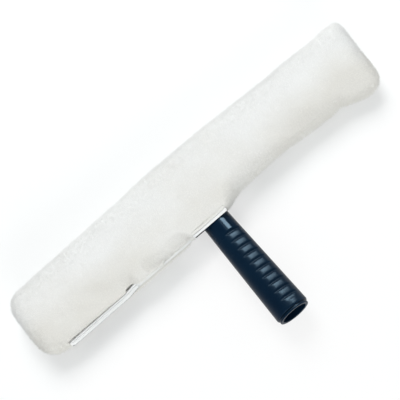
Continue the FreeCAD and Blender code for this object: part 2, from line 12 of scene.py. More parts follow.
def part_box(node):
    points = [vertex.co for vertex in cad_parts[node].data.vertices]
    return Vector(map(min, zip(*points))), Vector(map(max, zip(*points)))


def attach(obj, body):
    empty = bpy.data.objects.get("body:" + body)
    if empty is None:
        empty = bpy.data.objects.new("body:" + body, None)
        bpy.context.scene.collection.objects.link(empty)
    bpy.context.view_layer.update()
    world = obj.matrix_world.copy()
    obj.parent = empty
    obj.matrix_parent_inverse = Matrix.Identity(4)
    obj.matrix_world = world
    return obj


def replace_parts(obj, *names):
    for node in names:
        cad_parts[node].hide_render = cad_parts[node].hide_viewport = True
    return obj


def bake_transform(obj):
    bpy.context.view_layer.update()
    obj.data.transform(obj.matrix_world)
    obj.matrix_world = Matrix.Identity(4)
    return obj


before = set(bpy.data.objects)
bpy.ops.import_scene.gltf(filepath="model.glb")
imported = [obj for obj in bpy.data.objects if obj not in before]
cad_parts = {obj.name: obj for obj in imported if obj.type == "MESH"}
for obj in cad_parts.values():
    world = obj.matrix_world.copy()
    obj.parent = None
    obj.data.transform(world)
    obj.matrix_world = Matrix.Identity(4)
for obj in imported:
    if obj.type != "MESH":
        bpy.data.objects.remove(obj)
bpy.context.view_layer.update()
MM = 0.001

# Crossbar tube: the flat-oval extrusion that stiffens the sleeve, cut from mill-finish aluminium.
# The die leaves fine lines along it; its holes let water through, and the handle's tang is screwed in.
ALUMINIUM = (0.72, 0.73, 0.74)
ALUMINIUM_LINE = (0.62, 0.63, 0.65)
DIE_LINE_PITCH = 0.4 * MM
EVEN = (1.0, 1.0, 1.0)
NOISE_RANGE = (0.3, 0.7)


def add_node(tree, kind, inputs=None, **settings):
    """A shader node with its settings, and with values or links put on its inputs."""
    node = tree.nodes.new(kind)
    for name, setting in settings.items():
        setattr(node, name, setting)
    for socket, given in (inputs or {}).items():
        if isinstance(given, bpy.types.NodeSocket):
            tree.links.new(given, node.inputs[socket])
        else:
            node.inputs[socket].default_value = given
    return node


def calculate(tree, operation, *given, **settings):
    """The result of one arithmetic node on up to three values or links."""
    inputs = dict(enumerate(given))
    return add_node(tree, "ShaderNodeMath", inputs, operation=operation, **settings).outputs[0]


def ramp(tree, value, start, end, at_start=0.0, at_end=1.0, kind="LINEAR"):
    """A change from one result to another between two values, held past both of them."""
    ends = {"Value": value, "From Min": start, "From Max": end, "To Min": at_start, "To Max": at_end}
    return add_node(tree, "ShaderNodeMapRange", ends, interpolation_type=kind).outputs["Result"]


def object_axes(tree):
    """The X, Y and Z of a place in object space."""
    place = add_node(tree, "ShaderNodeTexCoord").outputs["Object"]
    return add_node(tree, "ShaderNodeSeparateXYZ", {0: place}).outputs


def new_group(name, inputs, output):
    """An empty shader node group with float or vector inputs, by their start values, and a float output."""
    tree = bpy.data.node_groups.new(name, "ShaderNodeTree")
    for label, start in inputs.items():
        kind = "NodeSocketFloat" if np.isscalar(start) else "NodeSocketVector"
        tree.interface.new_socket(label, in_out="INPUT", socket_type=kind).default_value = start
    tree.interface.new_socket(output, in_out="OUTPUT", socket_type="NodeSocketFloat")
    return tree, tree.nodes.new("NodeGroupInput").outputs, tree.nodes.new("NodeGroupOutput").inputs[output]


def make_unevenness():
    """Soft random blotches from Low to High in object space, one to each Size, drawn out by Stretch."""
    start = {"Size": 10 * MM, "Stretch": EVEN, "Low": 0.0, "High": 1.0}
    tree, given, result = new_group("unevenness", start, "Value")
    place = add_node(tree, "ShaderNodeTexCoord").outputs["Object"]
    drawn_out = add_node(tree, "ShaderNodeVectorMath", {0: place, 1: given["Stretch"]}, operation="DIVIDE")
    looks = {"Scale": calculate(tree, "DIVIDE", 1.0, given["Size"]), "Detail": 3.0, "Roughness": 0.55}
    noise = add_node(tree, "ShaderNodeTexNoise", {"Vector": drawn_out.outputs[0], **looks})
    tree.links.new(ramp(tree, noise.outputs["Fac"], *NOISE_RANGE, given["Low"], given["High"]), result)
    return tree


UNEVENNESS = make_unevenness()


def new_finish(name, colour, roughness, constants=None):
    """A material whose Principled shader has constant values on its own sockets."""
    material = bpy.data.materials.new(name)
    material.use_nodes = True
    shader = material.node_tree.nodes["Principled BSDF"]
    shader.inputs["Base Color"].default_value = (*colour, 1.0)
    shader.inputs["Roughness"].default_value = roughness
    for socket, constant in (constants or {}).items():
        shader.inputs[socket].default_value = constant
    return material


def uneven(material, size, low=0.0, high=1.0, stretch=EVEN):
    """The value of an unevenness group that is placed in the material."""
    given = {"Size": size, "Stretch": stretch, "Low": low, "High": high}
    return add_node(material.node_tree, "ShaderNodeGroup", given, node_tree=UNEVENNESS).outputs["Value"]


def drive(material, socket, source):
    """Let a value or colour of the material's nodes drive one socket of its shader."""
    material.node_tree.links.new(source, material.node_tree.nodes["Principled BSDF"].inputs[socket])


def mix_colours(material, mask, first, second):
    """The first colour where the mask is 0 and the second where it is 1."""
    first, second = (c if isinstance(c, bpy.types.NodeSocket) else (*c, 1.0) for c in (first, second))
    given = {0: mask, 6: first, 7: second}
    return add_node(material.node_tree, "ShaderNodeMix", given, data_type="RGBA").outputs[2]


def mottle(material, first, second, size, stretch=EVEN):
    """Let the base colour change between two colours in soft blotches."""
    mask = uneven(material, size, stretch=stretch)
    drive(material, "Base Color", mix_colours(material, mask, first, second))


def vary_gloss(material, size, low, high, stretch=EVEN):
    """Let the roughness change between two values in soft blotches."""
    drive(material, "Roughness", uneven(material, size, low, high, stretch))


def emboss(material, height, distance):
    """Bump the surface by a height from 0 to 1, times a distance in metres."""
    given = {"Height": height, "Distance": distance, "Strength": 1.0}
    drive(material, "Normal", add_node(material.node_tree, "ShaderNodeBump", given).outputs["Normal"])


def dress(node, material):
    """Give a solid its finish."""
    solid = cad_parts[node]
    solid.data.materials.clear()
    solid.data.materials.append(material)


aluminium = new_finish("mill_aluminium", ALUMINIUM, roughness=0.4, constants={"Metallic": 1.0})
die_lines = uneven(aluminium, DIE_LINE_PITCH, stretch=(120.0, 1.0, 1.0))
drive(aluminium, "Base Color", mix_colours(aluminium, die_lines, ALUMINIUM, ALUMINIUM_LINE))
vary_gloss(aluminium, size=6 * MM, low=0.32, high=0.48, stretch=(12.0, 1.0, 1.0))
emboss(aluminium, die_lines, distance=0.02 * MM)
dress("crossbar_tube", aluminium)

# End plugs: two moulded caps in satin black plastic, pressed into the ends of the tube so that its
# cut edges can't wear through the sleeve. The mould leaves a fine spark-eroded grain.
PLUG_BLACK = (0.035, 0.035, 0.038)
PLUG_GREY = (0.05, 0.05, 0.053)
SPARK_GRAIN = 0.25 * MM

plug_plastic = new_finish("satin_black_plastic", PLUG_BLACK, roughness=0.5)
mottle(plug_plastic, PLUG_BLACK, PLUG_GREY, size=9 * MM)
vary_gloss(plug_plastic, size=4 * MM, low=0.42, high=0.6)
emboss(plug_plastic, uneven(plug_plastic, SPARK_GRAIN), distance=0.03 * MM)
for plug in ("left_end_plug", "right_end_plug"):
    dress(plug, plug_plastic)

# Handle: one injection moulding in glossy navy plastic, hollow from its open end so that a pole fits.
# Two sides of the grip are flattened into leaf-shaped pads with a narrow finger groove between each.
NAVY = (0.0005, 0.0076, 0.0212)
NAVY_WORN = (0.0014, 0.0110, 0.0275)
NAVY_GLINT = (0.53, 0.80, 1.0, 1.0)
NECK_RADIUS = 13 * MM
NECK_BLEND = 8 * MM
END_RADIUS = 16 * MM
SHOULDER_ROUND = 1.7 * MM
RIM_RADIUS = 14.8 * MM
RIM_LENGTH = 1.8 * MM
RIM_ROUND = 0.7 * MM
RIM_GROOVE = 0.9 * MM
RIM_GROOVE_RADIUS = 14.1 * MM
RIM_GROOVE_ROUND = 0.3 * MM
SOCKET_RADIUS = 12 * MM
SOCKET_DEPTH = 32 * MM
SOCKET_BLEND = 3 * MM
SOCKET_TIP_RADIUS = 7 * MM
SOCKET_TIP_DEPTH = 92 * MM
SOCKET_TIP_ROUND = 2 * MM
GRIP_LENGTH = 110 * MM
GRIP_STEP = 0.45 * MM
GRIP_SIDES = 128
NECK_INSIDE = 16 * MM
PAD_TURN = math.radians(25)
PAD_DIP = 0.6 * MM
PAD_CROWN = 0.4 * MM
PAD_CLEAR = 1 * MM
PAD_BLEND = 0.12 * MM
PAD_FLATNESS = 0.82
PAD_START_SHARES = np.array([-0.45, -0.1])
PAD_END_SHARES = np.array([0.35, 0.95])
GROOVE_COUNT = 10
GROOVE_FIRST = 21.5 * MM
GROOVE_PITCH = 8.4 * MM
GROOVE_DIP = 0.8 * MM
GROOVE_HALF = 1.0 * MM
MOULD_GRAIN = 0.35 * MM
NECK_GLOSS = 0.11
GRIP_GLOSS = 0.34
GLOSS_FADE = 4 * MM
MAP_MARGIN = 0.02


def box_of(node):
    """The lowest and highest corner of a solid, as arrays."""
    return [np.array(corner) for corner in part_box(node)]


handle_low, handle_high = box_of("handle")
grip_root = handle_low[1] + GRIP_LENGTH
handle_z = (handle_low[2] + handle_high[2]) / 2


def rounded_line(corners, rounds, steps=6):
    """A line through corners, with a parabola at each inner one that starts and ends a given way from it."""
    share = np.linspace(0, 1, steps + 1)[:, None]
    pieces = [corners[:1]]
    for before, corner, after, size in zip(corners, corners[1:], corners[2:], rounds):
        start = corner + (before - corner) * size / np.linalg.norm(before - corner)
        end = corner + (after - corner) * size / np.linalg.norm(after - corner)
        pieces.append((1 - share) ** 2 * start + 2 * share * (1 - share) * corner + share**2 * end)
    pieces.append(corners[-1:])
    return np.concatenate(pieces)


def refine(line, step):
    """The same line with points added, so that none lie further apart than the step."""
    length = np.concatenate([[0], np.cumsum(np.linalg.norm(np.diff(line, axis=0), axis=1))])
    places = np.unique(np.concatenate([length, np.arange(0, length[-1], step)]))
    return np.stack([np.interp(places, length, line[:, k]) for k in range(line.shape[1])], axis=1)


def smooth_step(value, low, high):
    """0 below low, 1 above high, and an even S between them."""
    share = np.clip((value - low) / (high - low), 0, 1)
    return share * share * (3 - 2 * share)


def plateau(value, start, full, fade, end):
    """1 from full to fade, with an even S down to 0 at start and at end."""
    return smooth_step(value, start, full) * (1 - smooth_step(value, fade, end))


def bell(value, middle, reach):
    """1 at the middle, falling off on both sides with the square of the distance."""
    return np.exp(-(((value - middle) / reach) ** 2))


def face_outward(points, faces):
    """Whether the volume that the faces enclose comes out positive."""
    first = points[faces[:, 0]]
    volume = 0.0
    for k in range(1, faces.shape[1] - 1):
        volume += np.einsum("ij,ij->", first, np.cross(points[faces[:, k]], points[faces[:, k + 1]]))
    return volume >= 0


def new_piece(name, points, face_groups, material, slot, body, maps=None):
    """A smooth mesh piece of groups of faces, riding on a body if one is given.

    maps holds, for each group of faces, the place of every corner on the piece's own map.
    """
    faces = [face for group in face_groups for face in group.tolist()]
    mesh = bpy.data.meshes.new(name)
    mesh.from_pydata(points.tolist(), [], faces)
    mesh.polygons.foreach_set("use_smooth", np.ones(len(faces), bool))
    if maps is not None:
        layer = mesh.uv_layers.new(name="OFBake")
        layer.uv.foreach_set("vector", np.concatenate([m.reshape(-1) for m in maps]).astype(np.float32))
    mesh.materials.append(material)
    piece = bpy.data.objects.new(name, mesh)
    bpy.context.scene.collection.objects.link(piece)
    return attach(piece, body) if body else piece


def tube_faces(stations, around):
    """Quads between neighbouring rings of points, and fans to two more points that close the ends."""
    number = np.arange(stations * around).reshape(stations, around)
    after = np.roll(number, -1, axis=1)
    quads = np.stack([number[:-1], after[:-1], after[1:], number[1:]], axis=-1).reshape(-1, 4)
    pole = np.full(around, stations * around)
    first = np.stack([after[0], number[0], pole], axis=-1)
    last = np.stack([number[-1], after[-1], pole + 1], axis=-1)
    return quads, np.concatenate([first, last])


def corner_maps(*corners):
    """The map of many faces, from the u and v of their corners."""
    return np.stack([np.stack(np.broadcast_arrays(u, v), -1) for u, v in corners], -2)


def new_skin(name, rings, material, slot, body):
    """A closed piece through rings of points, with the middle of the first and of the last ring as its ends.

    Its map has the rings side by side, so no two faces share a place on it.
    """
    stations, around = rings.shape[:2]
    points = np.concatenate([rings.reshape(-1, 3), rings[[0, -1]].mean(axis=1)])
    quads, fans = tube_faces(stations, around)
    along = np.linspace(MAP_MARGIN, 1 - MAP_MARGIN, stations)
    across = np.linspace(0, 1, around + 1)
    low_u, high_u = along[:-1, None], along[1:, None]
    low, high = across[:-1], across[1:]
    quad_map = corner_maps((low_u, low), (low_u, high), (high_u, high), (high_u, low)).reshape(-1, 4, 2)
    middle = (low + high) / 2
    first = corner_maps((along[0], high), (along[0], low), (0, middle))
    last = corner_maps((along[-1], low), (along[-1], high), (1, middle))
    fan_map = np.concatenate([first, last])
    if not face_outward(points, quads):
        quads, quad_map = quads[:, ::-1], quad_map[:, ::-1]
        fans, fan_map = fans[:, ::-1], fan_map[:, ::-1]
    return new_piece(name, points, [quads, fans], material, slot, body, [quad_map, fan_map])


def grip_surface():
    """Rings about the handle's axis: a profile from the neck over the grip and the rim into the socket.

    On the two flattened sides the radius is the lesser of the cone and a flat whose depth goes up and
    down along the grip: shallow and crowned on the pads, and deeper in the grooves between them.
    """
    shoulder = GRIP_LENGTH - RIM_LENGTH - RIM_GROOVE
    tip = GRIP_LENGTH - SOCKET_TIP_DEPTH
    corners = np.array(
        [
            (-NECK_INSIDE, NECK_RADIUS, 0),
            (0, NECK_RADIUS, NECK_BLEND),
            (shoulder, END_RADIUS, SHOULDER_ROUND),
            (shoulder, RIM_GROOVE_RADIUS, RIM_GROOVE_ROUND),
            (shoulder + RIM_GROOVE, RIM_GROOVE_RADIUS, RIM_GROOVE_ROUND),
            (shoulder + RIM_GROOVE, RIM_RADIUS, RIM_GROOVE_ROUND),
            (GRIP_LENGTH, RIM_RADIUS, RIM_ROUND),
            (GRIP_LENGTH, SOCKET_RADIUS, RIM_ROUND),
            (GRIP_LENGTH - SOCKET_DEPTH, SOCKET_RADIUS, SOCKET_BLEND),
            (tip, SOCKET_TIP_RADIUS, SOCKET_TIP_ROUND),
            (tip, SOCKET_TIP_RADIUS / 2, 0),
        ]
    )
    profile = refine(rounded_line(corners[:, :2], corners[1:-1, 2]), GRIP_STEP)
    along, cone = profile[:, :1], profile[:, 1:]
    outside = np.arange(len(along))[:, None] <= np.argmax(along)
    places = GROOVE_FIRST + GROOVE_PITCH * np.arange(GROOVE_COUNT)
    nearest = np.abs(along - places).min(axis=1, keepdims=True)
    dip = PAD_DIP + PAD_CROWN * (1 - (2 * nearest / GROOVE_PITCH)) ** 2
    dip += GROOVE_DIP * bell(nearest, 0, GROOVE_HALF)
    starts = places[0] + GROOVE_PITCH * PAD_START_SHARES
    ends = places[-1] + GROOVE_PITCH * PAD_END_SHARES
    dip = (dip + PAD_CLEAR) * plateau(along, *starts, *ends) * outside - PAD_CLEAR
    angle = np.linspace(0, 2 * math.pi, GRIP_SIDES, endpoint=False)
    off_pad = np.abs((angle - PAD_TURN + math.pi / 2) % math.pi - math.pi / 2)
    flat = (cone - dip) / np.cos(PAD_FLATNESS * off_pad)
    blended = np.minimum(cone, flat) - PAD_BLEND * np.log(1 + np.exp(-np.abs(cone - flat) / PAD_BLEND))
    radius = np.where(outside, blended, cone)
    axes = (radius * np.sin(angle), grip_root - along, handle_z + radius * np.cos(angle))
    return np.stack(np.broadcast_arrays(*axes), axis=-1)


glint = {"Specular IOR Level": 0.12, "Specular Tint": NAVY_GLINT}
navy_plastic = new_finish("glossy_navy_plastic", NAVY, roughness=0.28, constants=glint)
mottle(navy_plastic, NAVY, NAVY_WORN, size=14 * MM, stretch=(1.0, 2.5, 1.0))
tree = navy_plastic.node_tree
first_pad = float(grip_root - GROOVE_FIRST)
fade = (first_pad + GLOSS_FADE, first_pad - GLOSS_FADE)
rubbed = ramp(tree, object_axes(tree)["Y"], *fade, NECK_GLOSS, GRIP_GLOSS)
blotches = uneven(navy_plastic, size=5 * MM, low=-0.03, high=0.03)
drive(navy_plastic, "Roughness", calculate(tree, "ADD", rubbed, blotches))
emboss(navy_plastic, uneven(navy_plastic, MOULD_GRAIN), distance=0.006 * MM)
handle = new_skin("handle_grip", grip_surface(), navy_plastic, "navy_plastic", "tool")
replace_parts(handle, "handle")

# Fasteners: two bright pan-head screws through tube and tang, each with a flat washer and a hexagon
# nut behind. Rolled and zinc bright, they lie hidden under the sleeve.
STEEL = (0.58, 0.58, 0.60)
STEEL_DULL = (0.48, 0.48, 0.49)

steel = new_finish("bright_steel", STEEL, roughness=0.3, constants={"Metallic": 1.0})
mottle(steel, STEEL, STEEL_DULL, size=3 * MM)
vary_gloss(steel, size=1.5 * MM, low=0.22, high=0.42)
for fastener in ("handle_screws", "handle_washers", "handle_nuts"):
    dress(fastener, steel)

# Sleeve skin: the base cloth of the fleece, a padded tube with closed ends that is pulled over the bar.
# It lies flat on its back, swells in the middle and is drawn in beside the handle at the lower right.
FLEECE = (0.890, 0.900, 0.885)
# The shade colours are painted shade, darker towards the lower edge and the ends, mixed with random clouds
# of tone.
FLEECE_PAINTED_SHADE = (0.778, 0.768, 0.722)
# The base cloth is painted darker than the strands: painted shade for the shadow that the shadowless pile
# would cast on it.
BACKING_PAINTED_PILE_SHADE = (0.790, 0.798, 0.785)
BACKING_PAINTED_SHADE = (0.690, 0.682, 0.642)
PAINTED_SHADE_HEIGHTS = (70 * MM, 30 * MM)
PAINTED_SHADE_PLACES = (30 * MM, 120 * MM)
PAINTED_SHADE_IN_MIDDLE = 0.68
CLOUD = 48 * MM
CLOUD_SHARE = 0.3
PILE = 2.7 * MM
PILE_AT_HEM = 0.9 * MM
PILE_STANDS_SHARE = 0.85
SWELL_WHERE_BARE = 0.15
HEM_HEIGHTS = (4 * MM, 11 * MM)
BESIDE_FLAP = (0.5 * MM, 8 * MM)
ABOVE_FLAP_RATE = 4
BESIDE_SLOT = (0.3 * MM, 2.5 * MM)
BARE_AT_SLOT_SHARE = 0.85
TOP_DROP = 4.5 * MM
TOP_CROWN = 4.6 * MM
TOP_CROWN_AT = 5 * MM
TOP_CROWN_REACH = 105 * MM
FACE_CROWN = 3.4 * MM
LEFT_ROUND = 16 * MM
RIGHT_TOP_ROUND = 6.5 * MM
RIGHT_LOW_ROUND = 13 * MM
RIGHT_PUFF = 1.5 * MM
RIGHT_TOP_PUFF = 3.2 * MM
RIGHT_TOP_HEIGHTS = (-4 * MM, 30 * MM)
RIGHT_START_SHARE = 0.8
END_ROUND_SIDE = 17 * MM
END_DOME = 0.4 * MM
TOP_ROUND = 15 * MM
TOP_REACH = 21 * MM
BACK_ROUND = 11.5 * MM
FRONT_ROUND = 10 * MM
FRONT_ROUND_DRAWN = 13 * MM
FRONT_ROUND_CHANGE = (8 * MM, 34 * MM)
FRONT_REACH = 26 * MM
FRONT_REACH_AT_SLOT = 9 * MM
SLOT_END = 1 * MM
SLOT_REACH_LEFT = 34 * MM
SLOT_REACH_RIGHT = 38 * MM
DRAW_STEP = 6.8 * MM
DRAW_CHANGE = (11 * MM, 36 * MM)
DRAW_MORE = 2.4 * MM
DRAW_MORE_AT = 80 * MM
DRAW_MORE_REACH = 45 * MM
TUCK_AT = 147 * MM
TUCK_REACH = 4 * MM
TUCK_DEPTH = 1.2 * MM
END_SWELL = 8.2 * MM
END_SWELL_CHANGE = (146 * MM, 174 * MM)
SLOT_LIP = 5.8 * MM
SLOT_LIP_LEFT = 10 * MM
SLOT_LIP_RIGHT = 16 * MM
SLOT_LIP_BELOW = 7 * MM
SLOT_BACK = 4.0 * MM
SLOT_BACK_ABOVE = (1 * MM, 8 * MM)
FLAP_LIP = 1.7 * MM
FLAP_LIP_LEFT = 8 * MM
HEM_LIP = 4.0 * MM
HEM_LIP_CHANGE = 6 * MM
LIP_ABOVE = 5 * MM
LIP_HEIGHT = 3 * MM
LIP_INTO_BAR = 4 * MM
PUCKER_DEPTH = 4.3 * MM
PUCKER_BEFORE_END = 5 * MM
PUCKER_REACH = 6 * MM
FLAP_GAP = 0.3 * MM
RECESS_DEPTH = 3.9 * MM
SLIT_ABOVE_HINGE = 2 * MM
SLIT_WIDTH = 4 * MM
SLIT_INSET = 3 * MM
SLIT_DEPTH = 10 * MM
SLOT_DEPTH = 11 * MM
LIP_EDGE = 0.2 * MM
STATION_STEP = 1.15 * MM
GRID_STEP = 0.1 * MM
END_STATIONS = 20
CORNER_LINES = 22
FACE_LINES = 40
TOP_LINES = 12
LOWER_LINES = 13
CAP_SHARES = np.linspace(0.05, 0.95, 12)[:, None, None]
CROWN_LEVELS = (0.5, 1.0)
FOLD_LEVELS = (0.6, 0.95)
PRESSED_TO = 0.7 * MM
CALM_REACH = 30 * MM
CALM_SHARE = 0.3
SWELLS = ((74 * MM, 1.5 * MM, 3), (27 * MM, 0.7 * MM, 4), (11 * MM, 0.2 * MM, 5))
# Each fold has the x and y of its start and of its end, its depth and its width
FOLDS = MM * np.array(
    [
        (-145, 44, -94, 19, 4.0, 10),
        (-70, 24, -51, 20.5, 5.2, 3.2),
        (-46, 23.5, -31, 20.5, 2.8, 3.0),
        (-2, 50, 36, 22, 1.2, 10),
        (84, 46, 118, 24, 2.6, 10),
        (140, 48, 174, 24, 3.0, 11),
    ]
)

sleeve_low, sleeve_high = box_of("fleece_sleeve")
bar_low = box_of("crossbar_tube")[0]
flap_low, flap_high = box_of("closure_flap")
hook_low, hook_high = box_of("hook_tape")
front_tape_low, front_tape_high = box_of("slot_tape_front")
back_tape_low, back_tape_high = box_of("slot_tape_back")
slot_left, slot_right = front_tape_low[0], front_tape_high[0]
slit_back = flap_low[2] + SLIT_ABOVE_HINGE
slit_front = slit_back + SLIT_WIDTH


def value_noise(points, cell, seed):
    """Random values from -1 to 1 at the corners of a lattice, blended smoothly along each axis."""
    size = 32
    table = np.random.default_rng(seed).uniform(-1, 1, (size, size, size))
    corner = np.floor(points / cell).astype(int)
    share = smooth_step(points / cell - corner, 0, 1)
    total = np.zeros(points.shape[:-1])
    for step in np.ndindex(2, 2, 2):
        weight = np.prod(np.where(step, share, 1 - share), axis=-1)
        index = (corner + step) % size
        total += weight * table[index[..., 0], index[..., 1], index[..., 2]]
    return total


def between(start, end, shares):
    """Values on the straight way from start to end."""
    return start + (end - start) * shares


def within(value, low, high):
    """1 between two places and 0 outside them, with an even change across each."""
    return plateau(value, low - LIP_EDGE, low + LIP_EDGE, high - LIP_EDGE, high + LIP_EDGE)


def sleeve_stations():
    """Places along the bar, with pairs of lines at the ends of the flap's recess and of the slot."""
    half = sleeve_high[0]
    even = np.arange(END_ROUND_SIDE - half, half - END_ROUND_SIDE, STATION_STEP)
    edges = np.array([flap_low[0] - FLAP_GAP, flap_high[0] + FLAP_GAP, slot_left, slot_right])
    close = END_ROUND_SIDE * (1 - np.cos(np.linspace(0, math.pi / 2, END_STATIONS)))[:-1]
    every = np.concatenate([even, edges - LIP_EDGE, edges + LIP_EDGE, close - half, half - close])
    return np.unique(np.round(every / GRID_STEP)) * GRID_STEP


def lower_edge(x):
    """The sleeve's lower edge: straight along the closure, drawn in right of the handle, with a tuck."""
    drawn = DRAW_STEP * smooth_step(x, *DRAW_CHANGE)
    drawn += DRAW_MORE * bell(x, DRAW_MORE_AT, DRAW_MORE_REACH)
    drawn += TUCK_DEPTH * bell(x, TUCK_AT, TUCK_REACH)
    drawn -= END_SWELL * smooth_step(x, *END_SWELL_CHANGE)
    return sleeve_low[1] + drawn


def lip_over_flap(x, z):
    """How far the fleece hangs out over the closure: more past the hook tape, after a pucker."""
    strip_end = hook_high[0]
    past = smooth_step(x, strip_end - HEM_LIP_CHANGE, strip_end + HEM_LIP_CHANGE)
    size = between(HEM_LIP, FLAP_LIP, 1 - past)
    size -= PUCKER_DEPTH * bell(x, strip_end - PUCKER_BEFORE_END, PUCKER_REACH)
    size *= plateau(x, flap_low[0] - FLAP_LIP_LEFT, flap_low[0], slot_left - SLOT_LIP_LEFT, slot_left)
    return size * bell(z, flap_high[2] + LIP_ABOVE, LIP_HEIGHT)


def lip_over_slot(x, z):
    """How far the fleece hangs out over the slot's front tape; behind the neck it is drawn in instead."""
    fade = (slot_right - SLOT_END, slot_right + SLOT_LIP_RIGHT)
    by_slot = plateau(x, slot_left - SLOT_LIP_LEFT, slot_left, *fade)
    in_front = smooth_step(z, front_tape_low[2] - SLOT_LIP_BELOW, front_tape_low[2])
    behind = 1 - smooth_step(z, *(back_tape_high[2] + np.array(SLOT_BACK_ABOVE)))
    return by_slot * (SLOT_LIP * in_front - SLOT_BACK * behind)


def folds(x, y):
    """How deep the soft folds and creases are that run across the front towards its lower edge.

    Each falls off with the square of the distance from its line and fades out past both ends of it.
    """
    deep = np.zeros(y.shape)
    for start_x, start_y, end_x, end_y, depth, width in FOLDS:
        span = np.hypot(end_x - start_x, end_y - start_y)
        ahead = ((x - start_x) * (end_x - start_x) + (y - start_y) * (end_y - start_y)) / span
        beside = ((y - start_y) * (end_x - start_x) - (x - start_x) * (end_y - start_y)) / span
        past = np.maximum(np.abs(ahead - span / 2) - span / 2, 0)
        deep += depth * bell(beside, 0, width) * bell(past, 0, width)
    return deep


def end_inset(x, radius):
    """How far a quarter round of the given radius has come in at each place near the sleeve's ends."""
    left = np.clip(radius - (sleeve_high[0] - np.abs(x)), 0, radius)
    return radius - np.sqrt(radius**2 - left**2)


def sleeve_form():
    """The outer form of the pile as rings of (x, y, z) round the bar.

    Each ring is a box with four rounded corners. Front face, top, back and lower face are straight
    runs and the corners are quarter ovals; near the ends the ring shrinks about its middle.
    """
    x = sleeve_stations()[:, None]
    in_side = end_inset(x, END_ROUND_SIDE)
    in_top = np.where(x < 0, end_inset(x, LEFT_ROUND), end_inset(x, RIGHT_TOP_ROUND))
    in_low = np.where(x < 0, end_inset(x, LEFT_ROUND), end_inset(x, RIGHT_LOW_ROUND))
    top = sleeve_high[1] - TOP_DROP + TOP_CROWN * bell(x, TOP_CROWN_AT, TOP_CROWN_REACH)
    low = lower_edge(x)
    front, back = sleeve_high[2] - FACE_CROWN, sleeve_low[2]
    front_round = between(FRONT_ROUND, FRONT_ROUND_DRAWN, smooth_step(x, *FRONT_ROUND_CHANGE))
    fade = (slot_right - SLOT_END, slot_right + SLOT_REACH_RIGHT)
    by_slot = plateau(x, slot_left - SLOT_REACH_LEFT, slot_left, *fade)
    front_reach = between(FRONT_REACH, FRONT_REACH_AT_SLOT, by_slot)
    bend = np.linspace(0, math.pi / 2, CORNER_LINES, endpoint=False)
    out, side = np.cos(bend), np.sin(bend)
    face_shares = np.linspace(0, 1, FACE_LINES, endpoint=False)
    top_shares = np.linspace(0, 1, TOP_LINES, endpoint=False)
    flat_low, flat_high = back + BACK_ROUND, front - FRONT_ROUND
    edges = np.array([flap_low[2] - FLAP_GAP, flap_high[2] + FLAP_GAP, slit_back, slit_front])
    even = np.linspace(flat_low, flat_high, LOWER_LINES)
    levels = np.concatenate([even, edges - LIP_EDGE, edges + LIP_EDGE])
    levels = np.unique(np.round(np.clip(levels, flat_low, flat_high) / GRID_STEP)) * GRID_STEP
    low_shares = np.clip((levels - flat_low) / (flat_high - flat_low), 0, 1)[:-1]
    face_low, face_top = low + front_reach, top - TOP_REACH
    wall_top, wall_front = front - TOP_ROUND, front - front_round
    runs = [
        (between(face_low, face_top, face_shares), front),
        (face_top + TOP_REACH * side, wall_top + TOP_ROUND * out),
        (top, between(wall_top, flat_low, top_shares)),
        (top - BACK_ROUND + BACK_ROUND * out, flat_low - BACK_ROUND * side),
        (between(top - BACK_ROUND, low + BACK_ROUND, face_shares), back),
        (low + BACK_ROUND - BACK_ROUND * side, flat_low - BACK_ROUND * out),
        (low, between(flat_low, wall_front, low_shares)),
        (face_low - front_reach * out, wall_front + front_round * side),
    ]
    runs = [np.broadcast_arrays(x, *run)[1:] for run in runs]
    y, z = (np.concatenate([run[axis] for run in runs], axis=1) for axis in (0, 1))
    middle_y, reach = (top + low) / 2, (top - low) / 2
    level = np.clip((z - back) / (front - back), 0, 1)
    crown = np.clip(1 - ((y - middle_y) / reach) ** 2, 0, 1)
    puff = FACE_CROWN * crown * smooth_step(level, *CROWN_LEVELS)
    puff -= folds(x, y) * smooth_step(level, *FOLD_LEVELS)
    lip = (lip_over_flap(x, z) + lip_over_slot(x, z)) * (y < bar_low[1] + LIP_INTO_BAR)
    middle_z = (sleeve_low[2] + sleeve_high[2]) / 2
    y = middle_y + (y - lip - middle_y) * (1 - np.where(y > middle_y, in_top, in_low) / reach)
    z = middle_z + (z + puff - middle_z) * (1 - in_side / (sleeve_high[2] - middle_z))
    at_top = smooth_step(y, *(middle_y + height for height in RIGHT_TOP_HEIGHTS))
    longer = (RIGHT_PUFF + RIGHT_TOP_PUFF * at_top) * smooth_step(x, RIGHT_START_SHARE * x[-1], x[-1])
    rings = np.stack([x + longer, y, z], axis=-1)
    # Both ends are closed by smaller and smaller copies of the end ring about its middle
    first, last = rings[0], rings[-1]
    start = between(first.mean(0), first, CAP_SHARES)
    finish = between(last.mean(0), last, CAP_SHARES[::-1])
    dome = END_DOME * (1 - CAP_SHARES[..., 0] ** 2)
    start[..., 0] -= dome
    finish[..., 0] += dome[::-1]
    return np.concatenate([start, rings, finish])


def ring_normals(rings):
    """Unit normals of a skin of rings: the cross product of its two directions, turned outwards."""
    along = np.gradient(rings, axis=0)
    around = np.roll(rings, -1, axis=1) - np.roll(rings, 1, axis=1)
    normal = np.cross(along, around)
    normal /= np.maximum(np.linalg.norm(normal, axis=-1, keepdims=True), 1e-12)
    middle = rings.mean(axis=1, keepdims=True)
    return normal * np.sign(np.sum(normal * (rings - middle), axis=-1).mean())


def beyond(value, low, high):
    """How far a value lies outside a range."""
    return np.maximum(np.maximum(low - value, value - high), 0)


